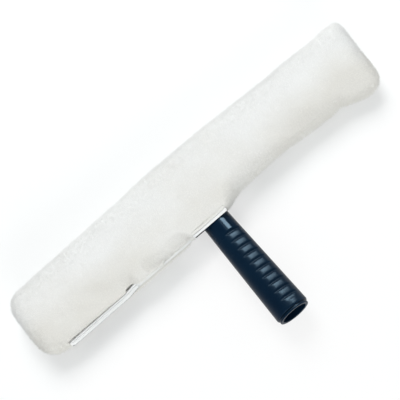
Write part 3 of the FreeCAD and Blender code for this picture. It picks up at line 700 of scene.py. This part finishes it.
def pile_share(points):
    """How long the pile stands: 1 in the open, little round the closure and less in the handle's slot."""
    x, y, z = np.moveaxis(points, -1, 0)
    lower = 1 - smooth_step(y, *(sleeve_low[1] + np.array(HEM_HEIGHTS)))
    from_flap = np.maximum(beyond(z, flap_low[2], flap_high[2]), ABOVE_FLAP_RATE * (z - flap_high[2]))
    beside_flap = 1 - smooth_step(np.hypot(beyond(x, flap_low[0], slot_left), from_flap), *BESIDE_FLAP)
    share = 1 - (1 - PILE_AT_HEM / PILE) * beside_flap * lower
    from_slot = beyond(z, back_tape_low[2], front_tape_high[2])
    beside_slot = 1 - smooth_step(np.hypot(beyond(x, slot_left, slot_right), from_slot), *BESIDE_SLOT)
    return share * (1 - BARE_AT_SLOT_SHARE * beside_slot * lower)


def sleeve_skin():
    """The base cloth: the pile's outer form less the pile, swelled at random and cut back at the openings.

    Each opening pushes the lower face in to its floor: the flap's recess, the slit under the flap and
    the slot that the handle comes through. The back is pressed flat by the tool's weight.
    """
    outer = sleeve_form()
    share = pile_share(outer)
    swell = sum(height * value_noise(outer, cell, seed) for cell, height, seed in SWELLS)
    by_slot = np.abs(outer[..., 0] - (slot_left + slot_right) / 2) < CALM_REACH
    swell = np.where(by_slot & (outer[..., 1] < bar_low[1]), CALM_SHARE * swell, swell)
    out = swell * between(SWELL_WHERE_BARE, 1, share) - PILE_STANDS_SHARE * PILE * share
    x, y, z = np.moveaxis(outer + ring_normals(outer) * out[..., None], -1, 0)
    lower = y < bar_low[1]
    room_low, room_high = flap_low - FLAP_GAP, flap_high + FLAP_GAP
    openings = (
        (room_low[0], room_high[0], room_low[2], room_high[2], RECESS_DEPTH),
        (flap_low[0] + SLIT_INSET, slot_left, slit_back, slit_front, SLIT_DEPTH),
        (slot_left, slot_right, back_tape_low[2], front_tape_high[2], SLOT_DEPTH),
    )
    for left, right, behind, in_front, depth in openings:
        pushed = np.maximum(y, sleeve_low[1] + depth)
        y = np.where(lower, between(y, pushed, within(x, left, right) * within(z, behind, in_front)), y)
    return np.stack([x, y, np.maximum(z, sleeve_low[2] + PRESSED_TO)], axis=-1), share


def paint_shade_and_clouds(material, clean, painted_shade):
    """Let fleece darken in random clouds of tone, with painted shade towards its lower edge and its ends,
    and vary its gloss.
    """
    tree = material.node_tree
    place = object_axes(tree)
    low = ramp(tree, place["Y"], *PAINTED_SHADE_HEIGHTS, kind="SMOOTHSTEP")
    from_middle = calculate(tree, "ABSOLUTE", place["X"])
    far = ramp(tree, from_middle, *PAINTED_SHADE_PLACES, PAINTED_SHADE_IN_MIDDLE, 1.0, kind="SMOOTHSTEP")
    clouds = uneven(material, CLOUD, -CLOUD_SHARE, CLOUD_SHARE)
    share = calculate(tree, "MULTIPLY_ADD", low, far, clouds, use_clamp=True)
    drive(material, "Base Color", mix_colours(material, share, clean, painted_shade))
    vary_gloss(material, size=2 * MM, low=0.88, high=1.0)


sheen = {"Specular IOR Level": 0.15, "Sheen Weight": 0.15, "Sheen Roughness": 0.6}
fleece = new_finish("white_fleece", FLEECE, roughness=0.95, constants=sheen)
paint_shade_and_clouds(fleece, FLEECE, FLEECE_PAINTED_SHADE)
# The backing's darker colour is painted shade under the pile.
backing = new_finish("fleece_backing", BACKING_PAINTED_PILE_SHADE, roughness=0.95, constants={"Specular IOR Level": 0.1})
paint_shade_and_clouds(backing, BACKING_PAINTED_PILE_SHADE, BACKING_PAINTED_SHADE)
skin_rings, skin_share = sleeve_skin()
sleeve = new_skin("sleeve_skin", skin_rings, backing, "white_fleece", "tool")
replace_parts(sleeve, "fleece_sleeve")

# Pile: fine polyester strands that are knitted into the base cloth and brushed up into a fleece.
# They lean together into small soft locks, and the ones under the tool are pressed flat.
PILE_PIECES = 6
STRANDS_A_PIECE = 19000
STRAND_RADIUS = 0.16 * MM
STRAND_ROOT = 0.4 * MM
STRAND_STEPS = np.array([0.0, 0.55, 1.0])[:, None]
STRAND_WIDTHS = np.array([1.0, 0.72])[:, None, None]
STRAND_LENGTHS = (0.75, 1.35)
STRAND_RADII = (0.75, 1.25)
SIDES = 3
COMB_CELL = 46 * MM
COMB_SEEDS = (11, 12, 13)
COMB_PULL = 0.35
LOCK_CELL = 3.8 * MM
LOCK_SEED = 14
LOCK_PULL = 0.07
SLOPE_SHARE = 0.1
STRAY_PULL = 0.18
SPREAD_SEED = 21
OPEN_PILE_SHARE = 0.2
CLOSE_TO_X = 0.8
FLOOR_GAP = 0.1 * MM
CLOTH_SHARE = 1.2
CLOTH_RISE = 0.45
MAP_SIDE_LEFT = 0.04
MAP_SIDE_WIDTH = 0.28
MAP_SIDE_PITCH = 0.3
MAP_HEIGHTS = (0.04, 0.55, 0.95)
MAP_ROOT = ((0.22, 0.94), (0.33, 0.7), (0.44, 0.94))


def cell_means(grid, cell, weights):
    """The means, by the weights of their four corners, of chosen cells of a grid of rings."""
    after = np.roll(grid, -1, axis=1)
    corners = (grid[:-1], after[:-1], after[1:], grid[1:])
    return sum(w * c.reshape(-1, 3)[cell] for w, c in zip(weights, corners))


def spread_on_skin(rings, shares, count, random):
    """Random places on a skin of rings, evenly by area, with their normals and pile shares."""
    after = np.roll(rings, -1, axis=1)
    area = np.linalg.norm(np.cross(after[1:] - rings[:-1], rings[1:] - after[:-1]), axis=-1)
    open_pile = (shares[:-1] + shares[1:]) / 2
    chance = (area * (open_pile > OPEN_PILE_SHARE)).ravel()
    cell = random.choice(len(chance), count, p=chance / chance.sum())
    u, v = random.random((2, count, 1))
    weights = ((1 - u) * (1 - v), (1 - u) * v, u * v, u * (1 - v))
    normal = cell_means(ring_normals(rings), cell, weights)
    normal /= np.linalg.norm(normal, axis=1, keepdims=True)
    return cell_means(rings, cell, weights), normal, open_pile.ravel()[cell]


def gradient_noise(points, cell, seed):
    """The slope of value noise, in cells: it points from all sides at the middle of each lock."""
    middle = value_noise(points, cell, seed)
    ahead = [value_noise(points + SLOPE_SHARE * cell * axis, cell, seed) for axis in np.eye(3)]
    return np.stack([(value - middle) / SLOPE_SHARE for value in ahead], axis=-1)


def spokes(heading, turn, spare):
    """Unit spokes square to each heading, at the given turns; spare serves headings close to X."""
    helper = np.where(np.abs(heading[..., :1]) < CLOSE_TO_X, np.array([1.0, 0, 0]), np.array(spare))
    side = np.cross(heading, helper)
    side /= np.linalg.norm(side, axis=-1, keepdims=True)
    other = np.cross(heading, side)
    return np.cos(turn)[..., None] * side[..., None, :] + np.sin(turn)[..., None] * other[..., None, :]


def strand_points(place, normal, share, random):
    """Rings of three points along each strand, and its tip, with the cloth's normal for each.

    A strand starts along the skin's normal and bends over with the square of its length: with its
    lock, with the way the fleece is combed there, and a little at random. Its radius falls to the tip.
    """
    count = len(place)
    length = (PILE * share * random.uniform(*STRAND_LENGTHS, count))[:, None, None]
    comb = np.stack([value_noise(place, COMB_CELL, seed) for seed in COMB_SEEDS], axis=-1)
    stray = random.normal(size=(count, 3))
    lean = COMB_PULL * comb + LOCK_PULL * gradient_noise(place, LOCK_CELL, LOCK_SEED) + STRAY_PULL * stray
    lean -= np.sum(lean * normal, axis=1, keepdims=True) * normal
    up = normal[:, None]
    line = (place - STRAND_ROOT * normal)[:, None] + length * STRAND_STEPS * up
    line += length * STRAND_STEPS**2 * lean[:, None] + STRAND_ROOT * STRAND_STEPS * up
    turn = random.uniform(0, 2 * math.pi, count)[:, None] + np.arange(SIDES) * 2 * math.pi / SIDES
    radius = STRAND_RADIUS * random.uniform(*STRAND_RADII, count)[:, None, None, None] * STRAND_WIDTHS
    rings = line[:, :-1, None] + radius * spokes(normal, turn, (0, 1.0, 0))[:, None]
    made = np.concatenate([rings.reshape(count, -1, 3), line[:, -1:]], axis=1)
    made[..., 2] = np.maximum(made[..., 2], sleeve_low[2] + FLOOR_GAP)
    return made, np.repeat(up, made.shape[1], axis=1)


def strand_faces(count):
    """Faces of closed strands, and a map with a cell of its own for each strand.

    A strand has three sides of a quad and a tip triangle, and a triangle at its root. On its cell
    the sides stand side by side, and the root fits between two tips.
    """
    quads, tris, quad_map, tri_map = [], [], [], []
    low, middle, high = MAP_HEIGHTS
    tip = len(STRAND_WIDTHS) * SIDES
    for side in range(SIDES):
        after = (side + 1) % SIDES
        left = MAP_SIDE_LEFT + MAP_SIDE_PITCH * side
        right = left + MAP_SIDE_WIDTH
        quads.append((side, after, SIDES + after, SIDES + side))
        quad_map.append(((left, low), (right, low), (right, middle), (left, middle)))
        tris.append((SIDES + side, SIDES + after, tip))
        tri_map.append(((left, middle), (right, middle), ((left + right) / 2, high)))
    tris.append((0, 2, 1))
    tri_map.append(MAP_ROOT)
    start = (np.arange(count) * (tip + 1))[:, None, None]
    cells = math.ceil(math.sqrt(count))
    cell = np.stack([np.arange(count) % cells, np.arange(count) // cells], axis=-1)[:, None, None]
    faces = [(start + np.array(group)).reshape(-1, len(group[0])) for group in (quads, tris)]
    maps = [((cell + np.array(group)) / cells) for group in (quad_map, tri_map)]
    return faces, maps


def soften(pile, skin_normals):
    """Let a batch of strands be lit partly like the cloth under it, cast no shadow and bounce no light.

    Fine fibres let light through, so each vertex normal is a mean of its own and of the cloth's,
    with the cloth's kept from facing down.
    """
    own = np.empty(3 * len(pile.data.vertices), np.float32)
    pile.data.vertex_normals.foreach_get("vector", own)
    both = own.reshape(-1, 3) + CLOTH_SHARE * np.maximum(skin_normals, (-1, -1, CLOTH_RISE))
    both /= np.maximum(np.linalg.norm(both, axis=1, keepdims=True), 1e-6)
    pile.data.normals_split_custom_set_from_vertices(both.tolist())
    pile.visible_shadow = False
    pile.visible_diffuse = False


random = np.random.default_rng(SPREAD_SEED)
rooted = spread_on_skin(skin_rings, skin_share, PILE_PIECES * STRANDS_A_PIECE, random)
strands, strand_normals = strand_points(*rooted, random)
strand_group, strand_map = strand_faces(STRANDS_A_PIECE)
for number in range(PILE_PIECES):
    batch = strands[number::PILE_PIECES].reshape(-1, 3)
    pile = new_piece(f"pile_{number + 1}", batch, strand_group, fleece, "white_fleece", "tool", strand_map)
    soften(pile, strand_normals[number::PILE_PIECES].reshape(-1, 3))

# Slot tapes: two short lengths of woven polyester tape that bind the lips of the handle's slot.
# The front one hangs over the root of the neck; both are sewn into the fleece.
TAPE_WHITE = (0.87, 0.88, 0.875)
TAPE_SHADE = (0.76, 0.77, 0.765)
THREAD_PITCH = 0.55 * MM
HEM_WIDTH_SHARE = 0.12
WAVE_RATES = (61.0, 23.0)


def make_weave():
    """A plain weave in object space: threads along X cross threads along Y or Z, one over and one under.

    Height is the product of a wave along X and a wave across it, from 0 to 1.
    """
    tree, given, result = new_group("plain_weave", {"Pitch": 0.5 * MM}, "Height")
    place = object_axes(tree)
    rate = calculate(tree, "DIVIDE", math.pi, given["Pitch"])
    phases = [
        calculate(tree, "MULTIPLY", source, rate)
        for source in (place["X"], calculate(tree, "ADD", place["Y"], place["Z"]))
    ]
    crossed = calculate(tree, "MULTIPLY", *(calculate(tree, "SINE", phase) for phase in phases))
    tree.links.new(ramp(tree, crossed, -1.0, 1.0), result)
    return tree


WEAVE = make_weave()


def woven(material, pitch):
    """The height of a plain weave that is placed in the material."""
    given = {"Pitch": pitch}
    return add_node(material.node_tree, "ShaderNodeGroup", given, node_tree=WEAVE).outputs["Height"]


def strip_surface(low, high, wave=0.0, edge=0.0, stations=90, around=48, corner=1.0 * MM):
    """Rings of a strip along X that fills a box: a flattened oval carried along it.

    The oval is |a|^4 + |b|^4 = 1 in the box's two short sides. Towards its ends the strip narrows by
    a quarter round, its edges are thickened like a hem, and a slow wave lifts it out of its plane.
    """
    x = low[0] + (high[0] - low[0]) * (1 - np.cos(np.linspace(0, math.pi, stations))) / 2
    angle = np.linspace(0, 2 * math.pi, around, endpoint=False)
    half = (high - low) / 2
    middle = (high + low) / 2
    wide = 1 if half[1] > half[2] else 2
    thin = 3 - wide
    oval = np.stack([np.sign(f) * np.abs(f) ** 0.5 for f in (np.cos(angle), np.sin(angle))])
    left = np.clip(corner - np.minimum(x - low[0], high[0] - x), 0, corner)
    inset = corner - np.sqrt(corner**2 - left**2)
    rings = np.zeros((stations, around, 3))
    rings[..., 0] = x[:, None]
    rings[..., wide] = middle[wide] + (half[wide] - inset)[:, None] * oval[0]
    hem = 1 + edge * bell(np.abs(oval[0]), 1, HEM_WIDTH_SHARE)
    lift = wave * np.sin(x * WAVE_RATES[0]) * np.cos(x * WAVE_RATES[1])
    rings[..., thin] = middle[thin] + half[thin] * oval[1] * hem + lift[:, None]
    return rings


def new_tape(name):
    """A white woven tape's material, and its colour, with painted shade in the weave's hollows."""
    sheen = {"Specular IOR Level": 0.35, "Sheen Weight": 0.1, "Sheen Roughness": 0.5}
    material = new_finish(name, TAPE_WHITE, roughness=0.7, constants=sheen)
    weave = woven(material, THREAD_PITCH)
    # The weave's low places take the darker colour: painted shade in its hollows.
    shaded_weave = mix_colours(material, weave, TAPE_SHADE, TAPE_WHITE)
    drive(material, "Base Color", shaded_weave)
    vary_gloss(material, size=3 * MM, low=0.6, high=0.8)
    emboss(material, weave, distance=0.12 * MM)
    return material, shaded_weave


tape = new_tape("white_woven_tape")[0]
for node, name in (("slot_tape_front", "front_slot_tape"), ("slot_tape_back", "back_slot_tape")):
    strip = strip_surface(*box_of(node), wave=0.15 * MM, edge=0.15)
    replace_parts(new_skin(name, strip, tape, "white_tape", "tool"), node)

# Slot shadow: a narrow dark strip laid over the back tape beside the neck, a sheet of painted shadow for the
# deep shade inside the slot. Under the front tape it is the dark line that the slot shows where it is wider
# than the neck.
SLOT_SHADOW_DARK = (0.020, 0.020, 0.021)
SLOT_SHADOW_GREY = (0.034, 0.034, 0.035)
SLOT_SHADOW_THICK = 0.5 * MM
SLOT_SHADOW_OVER = 0.6 * MM
SLOT_SHADOW_LEFT = 0.6 * MM
SLOT_SHADOW_RIGHT = -13.3 * MM

slot_shadow_finish = new_finish("painted_slot_shadow", SLOT_SHADOW_DARK, roughness=0.95, constants={"Specular IOR Level": 0.1})
mottle(slot_shadow_finish, SLOT_SHADOW_DARK, SLOT_SHADOW_GREY, size=4 * MM)
low = np.array([back_tape_low[0] + SLOT_SHADOW_LEFT, back_tape_low[1] - SLOT_SHADOW_OVER, back_tape_high[2]])
high = np.array([SLOT_SHADOW_RIGHT, back_tape_high[1], back_tape_high[2] + SLOT_SHADOW_THICK])
strip = strip_surface(low, high, stations=24, corner=0.4 * MM)
new_skin("slot_shadow_strip", strip, slot_shadow_finish, "white_fleece", "tool")

# Loop tape: the soft half of the closure, a white nylon strip with a nap of fine loops, sewn to the
# front lip of the slit under the flap.
NYLON = (0.86, 0.87, 0.865)
NYLON_SHADE = (0.74, 0.75, 0.745)
NYLON_PITCH = 0.4 * MM
BACKING_SHARE = 0.4
LOOP_PITCH = 1.3 * MM
LOOP_WIRE = 0.09 * MM
ROW_SHARE = 0.8
OFFSET_SHARE = 0.15
NAP_STEPS = 7

nylon = new_finish("white_nylon", NYLON, roughness=0.5, constants={"Specular IOR Level": 0.4})
weave = woven(nylon, NYLON_PITCH)
# The weave's low places take the darker colour: painted shade in its hollows.
drive(nylon, "Base Color", mix_colours(nylon, weave, NYLON_SHADE, NYLON))
vary_gloss(nylon, size=2 * MM, low=0.4, high=0.65)
emboss(nylon, weave, distance=0.08 * MM)


def bent_wires(lines, radius, sides=5):
    """Points and faces of many thin closed wires, each a tube along its own line of points.

    At every point a ring of equal spokes stands square to the line, and a fan closes each end.
    """
    count, steps = lines.shape[:2]
    along = np.gradient(lines, axis=1)
    along /= np.linalg.norm(along, axis=-1, keepdims=True)
    turn = np.arange(sides) * 2 * math.pi / sides
    rings = (lines[..., None, :] + radius * spokes(along, turn, (0, 0, 1.0))).reshape(count, -1, 3)
    points = np.concatenate([rings, lines[:, :1], lines[:, -1:]], axis=1)
    start = (np.arange(count) * points.shape[1])[:, None, None]
    groups = [(start + faces).reshape(-1, faces.shape[1]) for faces in tube_faces(steps, sides)]
    return points.reshape(-1, 3), groups


def rooted_grid(low, high, pitch, random):
    """Places in rows over the box's flat face, every other row shifted, and a small random offset."""
    x = np.arange(low[0] + pitch, high[0] - pitch, pitch)
    z = np.arange(low[2] + pitch / 2, high[2] - pitch / 4, pitch * ROW_SHARE)
    grid_x, grid_z = np.meshgrid(x, z)
    grid_x = grid_x + (np.arange(len(z)) % 2)[:, None] * pitch / 2
    offset = random.uniform(-OFFSET_SHARE, OFFSET_SHARE, (2, grid_x.size)) * pitch
    return grid_x.ravel() + offset[0], grid_z.ravel() + offset[1]


def nap(low, high, face, height, pitch, turn_share, seed):
    """Lines of small loops or hooks that stand on a flat face: an arc in a plane of its own direction.

    turn_share is the part of a full circle that the wire bends: a half for a loop, more for a hook.
    """
    random = np.random.default_rng(seed)
    x, z = rooted_grid(low, high, pitch, random)
    heading = random.uniform(0, 2 * math.pi, x.size)[:, None]
    sweep = np.linspace(0, 1, NAP_STEPS) * 2 * math.pi * turn_share
    across = height / 2 * (1 - np.cos(sweep))
    up = height / 2 * (np.sin(sweep) + np.minimum(np.arange(NAP_STEPS) / 2, 1))
    lines = np.zeros((x.size, NAP_STEPS, 3))
    lines[..., 0] = x[:, None] + np.cos(heading) * across
    lines[..., 2] = z[:, None] + np.sin(heading) * across
    lines[..., 1] = face[0] + face[1] * np.clip(up, 0, height)
    return lines


loop_low, loop_high = box_of("loop_tape")
backing_low = loop_low.copy()
backing_low[1] = loop_high[1] - BACKING_SHARE * (loop_high[1] - loop_low[1])
strip = strip_surface(backing_low, loop_high, stations=60, corner=0.5 * MM)
loop_backing = new_skin("loop_tape_backing", strip, nylon, "hook_and_loop", "tool")
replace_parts(loop_backing, "loop_tape")
loop_room = backing_low[1] - loop_low[1]
loops = nap(loop_low, loop_high, (backing_low[1], -1), loop_room, LOOP_PITCH, turn_share=0.5, seed=31)
new_piece("loop_tape_nap", *bent_wires(loops, LOOP_WIRE), nylon, "hook_and_loop", "tool")

# Closure flap: a strip of woven tape, sewn to the back lip of the slit along one edge so that it swings
# open. Its outer end carries a stitched binding, and lockstitch runs along its edges.
BINDING_THICK = 1.0 * MM
BINDING_SUNK = 0.1 * MM
BINDING_INSET = 1.0 * MM
BINDING_LEFT = 2 * MM
BINDING_RISE = 4.5 * MM
BINDING_END = 77 * MM
SAG = 3.2 * MM
SAG_START_SHARE = 0.75
SAG_FROM = -84 * MM
SAG_RISEN = -104 * MM
STITCH_PITCH = 2.6 * MM
STITCH_LENGTH = 1.9 * MM
STITCH_RADIUS = 0.16 * MM
STITCH_LIFT = 0.18 * MM
STITCH_STEPS = 6
BINDING_STITCH_INSETS = (2 * MM, 1.6 * MM)
FLAP_STITCH_INSETS = (3 * MM, 1.8 * MM)
THREAD = (0.88, 0.89, 0.885)
THREAD_SHADE = (0.76, 0.77, 0.765)
# A grey of painted shadow, for the flap's lower band.
PAINTED_SHADOW_GREY = (0.30, 0.30, 0.295)
PAINTED_SHADOW_TOP = 1.2 * MM
PAINTED_SHADOW_TOP_FADE = 0.5 * MM
PAINTED_SHADOW_END_FADE = 3 * MM

thread = new_finish("white_thread", THREAD, roughness=0.55, constants={"Specular IOR Level": 0.4})
mottle(thread, THREAD, THREAD_SHADE, size=0.4 * MM)
vary_gloss(thread, size=0.8 * MM, low=0.45, high=0.7)


def sagged(points):
    """The same points, moved out by the closure's sag: most of it soon, the rest towards its far end."""
    out = np.zeros(points.shape)
    soon = smooth_step(-points[..., 0], -SAG_FROM, -SAG_RISEN)
    late = smooth_step(-points[..., 0], -SAG_FROM, -flap_low[0])
    out[..., 1] = SAG * (SAG_START_SHARE * soon + (1 - SAG_START_SHARE) * late)
    return points - out


def bend_when_open(piece):
    """Bake the piece's place into its mesh; nothing here turns it with the open flap."""
    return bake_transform(piece)


closure_tape, shaded_weave = new_tape("closure_tape")
tree = closure_tape.node_tree
place = object_axes(tree)
# The flap's lower band under the binding is painted grey: painted shadow of the gap beneath the closure
# strip.
shadow_top = float(flap_low[2]) + BINDING_RISE + PAINTED_SHADOW_TOP
below = ramp(tree, place["Z"], shadow_top + PAINTED_SHADOW_TOP_FADE, shadow_top - PAINTED_SHADOW_TOP_FADE)
strip_end = float(flap_low[0]) + BINDING_END
under = ramp(tree, place["X"], strip_end + PAINTED_SHADOW_END_FADE, strip_end - PAINTED_SHADOW_END_FADE)
hem = calculate(tree, "MULTIPLY", below, under)
drive(closure_tape, "Base Color", mix_colours(closure_tape, hem, shaded_weave, PAINTED_SHADOW_GREY))
strip = strip_surface(flap_low, flap_high, wave=0.12 * MM, edge=0.12, stations=160, corner=3 * MM)
flap = bend_when_open(new_skin("closure_flap_cloth", sagged(strip), closure_tape, "white_tape", None))
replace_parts(flap, "closure_flap")
binding_low = flap_low + np.array([BINDING_LEFT, -BINDING_THICK, BINDING_RISE])
binding_top = flap_high[2] - BINDING_INSET
binding_high = np.array([flap_low[0] + BINDING_END, flap_low[1] + BINDING_SUNK, binding_top])
strip = strip_surface(binding_low, binding_high, wave=0.1 * MM, edge=0.1, stations=110)
new_skin("flap_binding", sagged(strip), closure_tape, "white_tape", "flap")


def lockstitch(left, right, y, z):
    """Lines of a row of stitches along X: short arcs that rise from the cloth and dive back."""
    count = int((right - left) / STITCH_PITCH)
    middle = left + (np.arange(count)[:, None] + 0.5) * (right - left) / count
    share = np.linspace(-0.5, 0.5, STITCH_STEPS)
    axes = (middle + share * STITCH_LENGTH, y - STITCH_LIFT * np.cos(math.pi * share), z)
    return np.stack(np.broadcast_arrays(*axes), axis=-1)


rows = []
for low, high, left, (from_end, from_edge) in (
    (binding_low, binding_high, binding_low[0], BINDING_STITCH_INSETS),
    (flap_low, flap_high, binding_high[0], FLAP_STITCH_INSETS),
):
    for z in (low[2] + from_edge, high[2] - from_edge):
        rows.append(lockstitch(left + from_end, high[0] - from_end, low[1], z))
stitches = bent_wires(sagged(np.concatenate(rows)), STITCH_RADIUS)
bend_when_open(new_piece("flap_stitching", *stitches, thread, "white_tape", None))

# Hook tape: the stiff half of the closure, a white nylon strip of small bent hooks, sewn to the inside of
# the flap so that it meets the loops.
HOOK_PITCH = 1.5 * MM
HOOK_WIRE = 0.13 * MM

backing_high = hook_high.copy()
backing_high[1] = hook_low[1] + BACKING_SHARE * (hook_high[1] - hook_low[1])
strip = sagged(strip_surface(hook_low, backing_high, stations=60, corner=0.5 * MM))
hook_backing = bend_when_open(new_skin("hook_tape_backing", strip, nylon, "hook_and_loop", None))
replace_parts(hook_backing, "hook_tape")
hook_room = hook_high[1] - backing_high[1]
hooks = nap(hook_low, hook_high, (backing_high[1], 1), hook_room, HOOK_PITCH, turn_share=0.62, seed=32)
hooks = bent_wires(sagged(hooks), HOOK_WIRE)
bend_when_open(new_piece("hook_tape_hooks", *hooks, nylon, "hook_and_loop", None))

# Stage: a plain white floor that keeps the shadow, soft studio light, and the photograph's camera.
# The handle stands clear of the floor; beside it the floor is painted whiter, painted light that makes the
# shadow there fainter than under the sleeve.
FLOOR_HALF = 6.0
FLOOR_WHITE = (0.91, 0.92, 0.918)
SHADOW_SHARE = 0.75
PAINTED_LIGHT_BY_NECK = 0.4
PAINTED_LIGHT_BY_GRIP = 0.6
PAINTED_LIGHT_MOST = 0.75
NECK_SIDES = (22 * MM, 60 * MM)
NECK_HEIGHTS = (20 * MM, 60 * MM)
GRIP_HEIGHTS = (-20 * MM, 14 * MM)
SKY_WHITE = (0.97, 0.99, 1.0, 1.0)
SKY_STRENGTH = 0.58
LAMP_AIM = (0.0, 0.03, 0.02)
PHOTO_SIDE = 400
ROOT_PIXEL = (215.5, 220.0)
BAR_SLOPE = math.atan2(0.648, 0.7616)
CAMERA_TILT = math.radians(18)
CAMERA_DISTANCE = 1.4
METRES_A_PIXEL = 0.862 * MM
SENSOR = 36.0


def link_object(name, data):
    """A new object in the scene that shows the given data."""
    made = bpy.data.objects.new(name, data)
    bpy.context.scene.collection.objects.link(made)
    return made


floor_mesh = bpy.data.meshes.new("floor")
corners = [(FLOOR_HALF * x, FLOOR_HALF * y, 0) for x, y in ((-1, -1), (1, -1), (1, 1), (-1, 1))]
floor_mesh.from_pydata(corners, [], [(0, 1, 2, 3)])
floor = link_object("floor", floor_mesh)
floor_finish = new_finish("floor_white", FLOOR_WHITE, roughness=0.9, constants={"Specular IOR Level": 0.1})
tree = floor_finish.node_tree
glow = add_node(tree, "ShaderNodeEmission", {"Color": (1.0, 1.0, 1.0, 1.0), "Strength": 1.0})
path = add_node(tree, "ShaderNodeLightPath").outputs
seen = calculate(tree, "MAXIMUM", path["Is Camera Ray"], path["Is Glossy Ray"])
seen = calculate(tree, "MAXIMUM", seen, path["Is Transmission Ray"])
place = object_axes(tree)
beside = calculate(tree, "ABSOLUTE", place["X"])
by_neck = ramp(tree, beside, *NECK_SIDES, PAINTED_LIGHT_BY_NECK, 0.0, kind="SMOOTHSTEP")
in_front = ramp(tree, place["Y"], *NECK_HEIGHTS, 1.0, 0.0, kind="SMOOTHSTEP")
by_grip = ramp(tree, place["Y"], *GRIP_HEIGHTS, PAINTED_LIGHT_BY_GRIP, 0.0, kind="SMOOTHSTEP")
# Painted light: near the handle more of the floor shows plain white, which fades the handle's shadow.
clear = calculate(tree, "MULTIPLY_ADD", by_neck, in_front, by_grip)
clear = calculate(tree, "MINIMUM", clear, PAINTED_LIGHT_MOST)
white = calculate(tree, "MULTIPLY_ADD", clear, SHADOW_SHARE, 1 - SHADOW_SHARE)
share = calculate(tree, "MULTIPLY", seen, white)
shaded = tree.nodes["Principled BSDF"].outputs[0]
mixed = add_node(tree, "ShaderNodeMixShader", {0: share, 1: shaded, 2: glow.outputs[0]})
tree.links.new(mixed.outputs[0], tree.nodes["Material Output"].inputs["Surface"])
floor_mesh.materials.append(floor_finish)

world = bpy.data.worlds.new("studio")
world.use_nodes = True
sky = world.node_tree.nodes["Background"]
sky.inputs["Color"].default_value = SKY_WHITE
sky.inputs["Strength"].default_value = SKY_STRENGTH
bpy.context.scene.world = world


def softbox(name, place, size, power):
    """A square area lamp at a place, turned to face the tool."""
    data = bpy.data.lights.new(name, "AREA")
    data.size = size
    data.energy = power
    lamp = link_object(name, data)
    lamp.location = place
    lamp.rotation_euler = (Vector(place) - Vector(LAMP_AIM)).to_track_quat("Z", "Y").to_euler()
    return lamp


softbox("key", place=(0.4, 1.2, 1.5), size=1.1, power=23.0)
softbox("fill", place=(-0.4, -1.55, 0.30), size=1.5, power=20.0)
softbox("grip_light", place=(0.80, 0.50, 0.86), size=0.55, power=33.0).visible_diffuse = False

rise = Vector((0, math.cos(CAMERA_TILT), math.sin(CAMERA_TILT)))
towards = Vector((0, -math.sin(CAMERA_TILT), math.cos(CAMERA_TILT)))
right = math.cos(BAR_SLOPE) * Vector((1, 0, 0)) - math.sin(BAR_SLOPE) * rise
up = math.sin(BAR_SLOPE) * Vector((1, 0, 0)) + math.cos(BAR_SLOPE) * rise
root = Vector((0, float(front_tape_low[1]), float(front_tape_high[2])))
across, down = (ROOT_PIXEL[axis] - PHOTO_SIDE / 2 for axis in (0, 1))
aim = root + METRES_A_PIXEL * (down * up - across * right)
lens = bpy.data.cameras.new("camera")
lens.sensor_width = SENSOR
lens.lens = SENSOR * CAMERA_DISTANCE / (PHOTO_SIDE * METRES_A_PIXEL)
camera = link_object("camera", lens)
turned = Matrix((right, up, towards)).transposed().to_4x4()
camera.matrix_world = Matrix.Translation(aim + towards * CAMERA_DISTANCE) @ turned
bpy.context.scene.camera = camera
bpy.context.scene.view_settings.view_transform = "Standard"
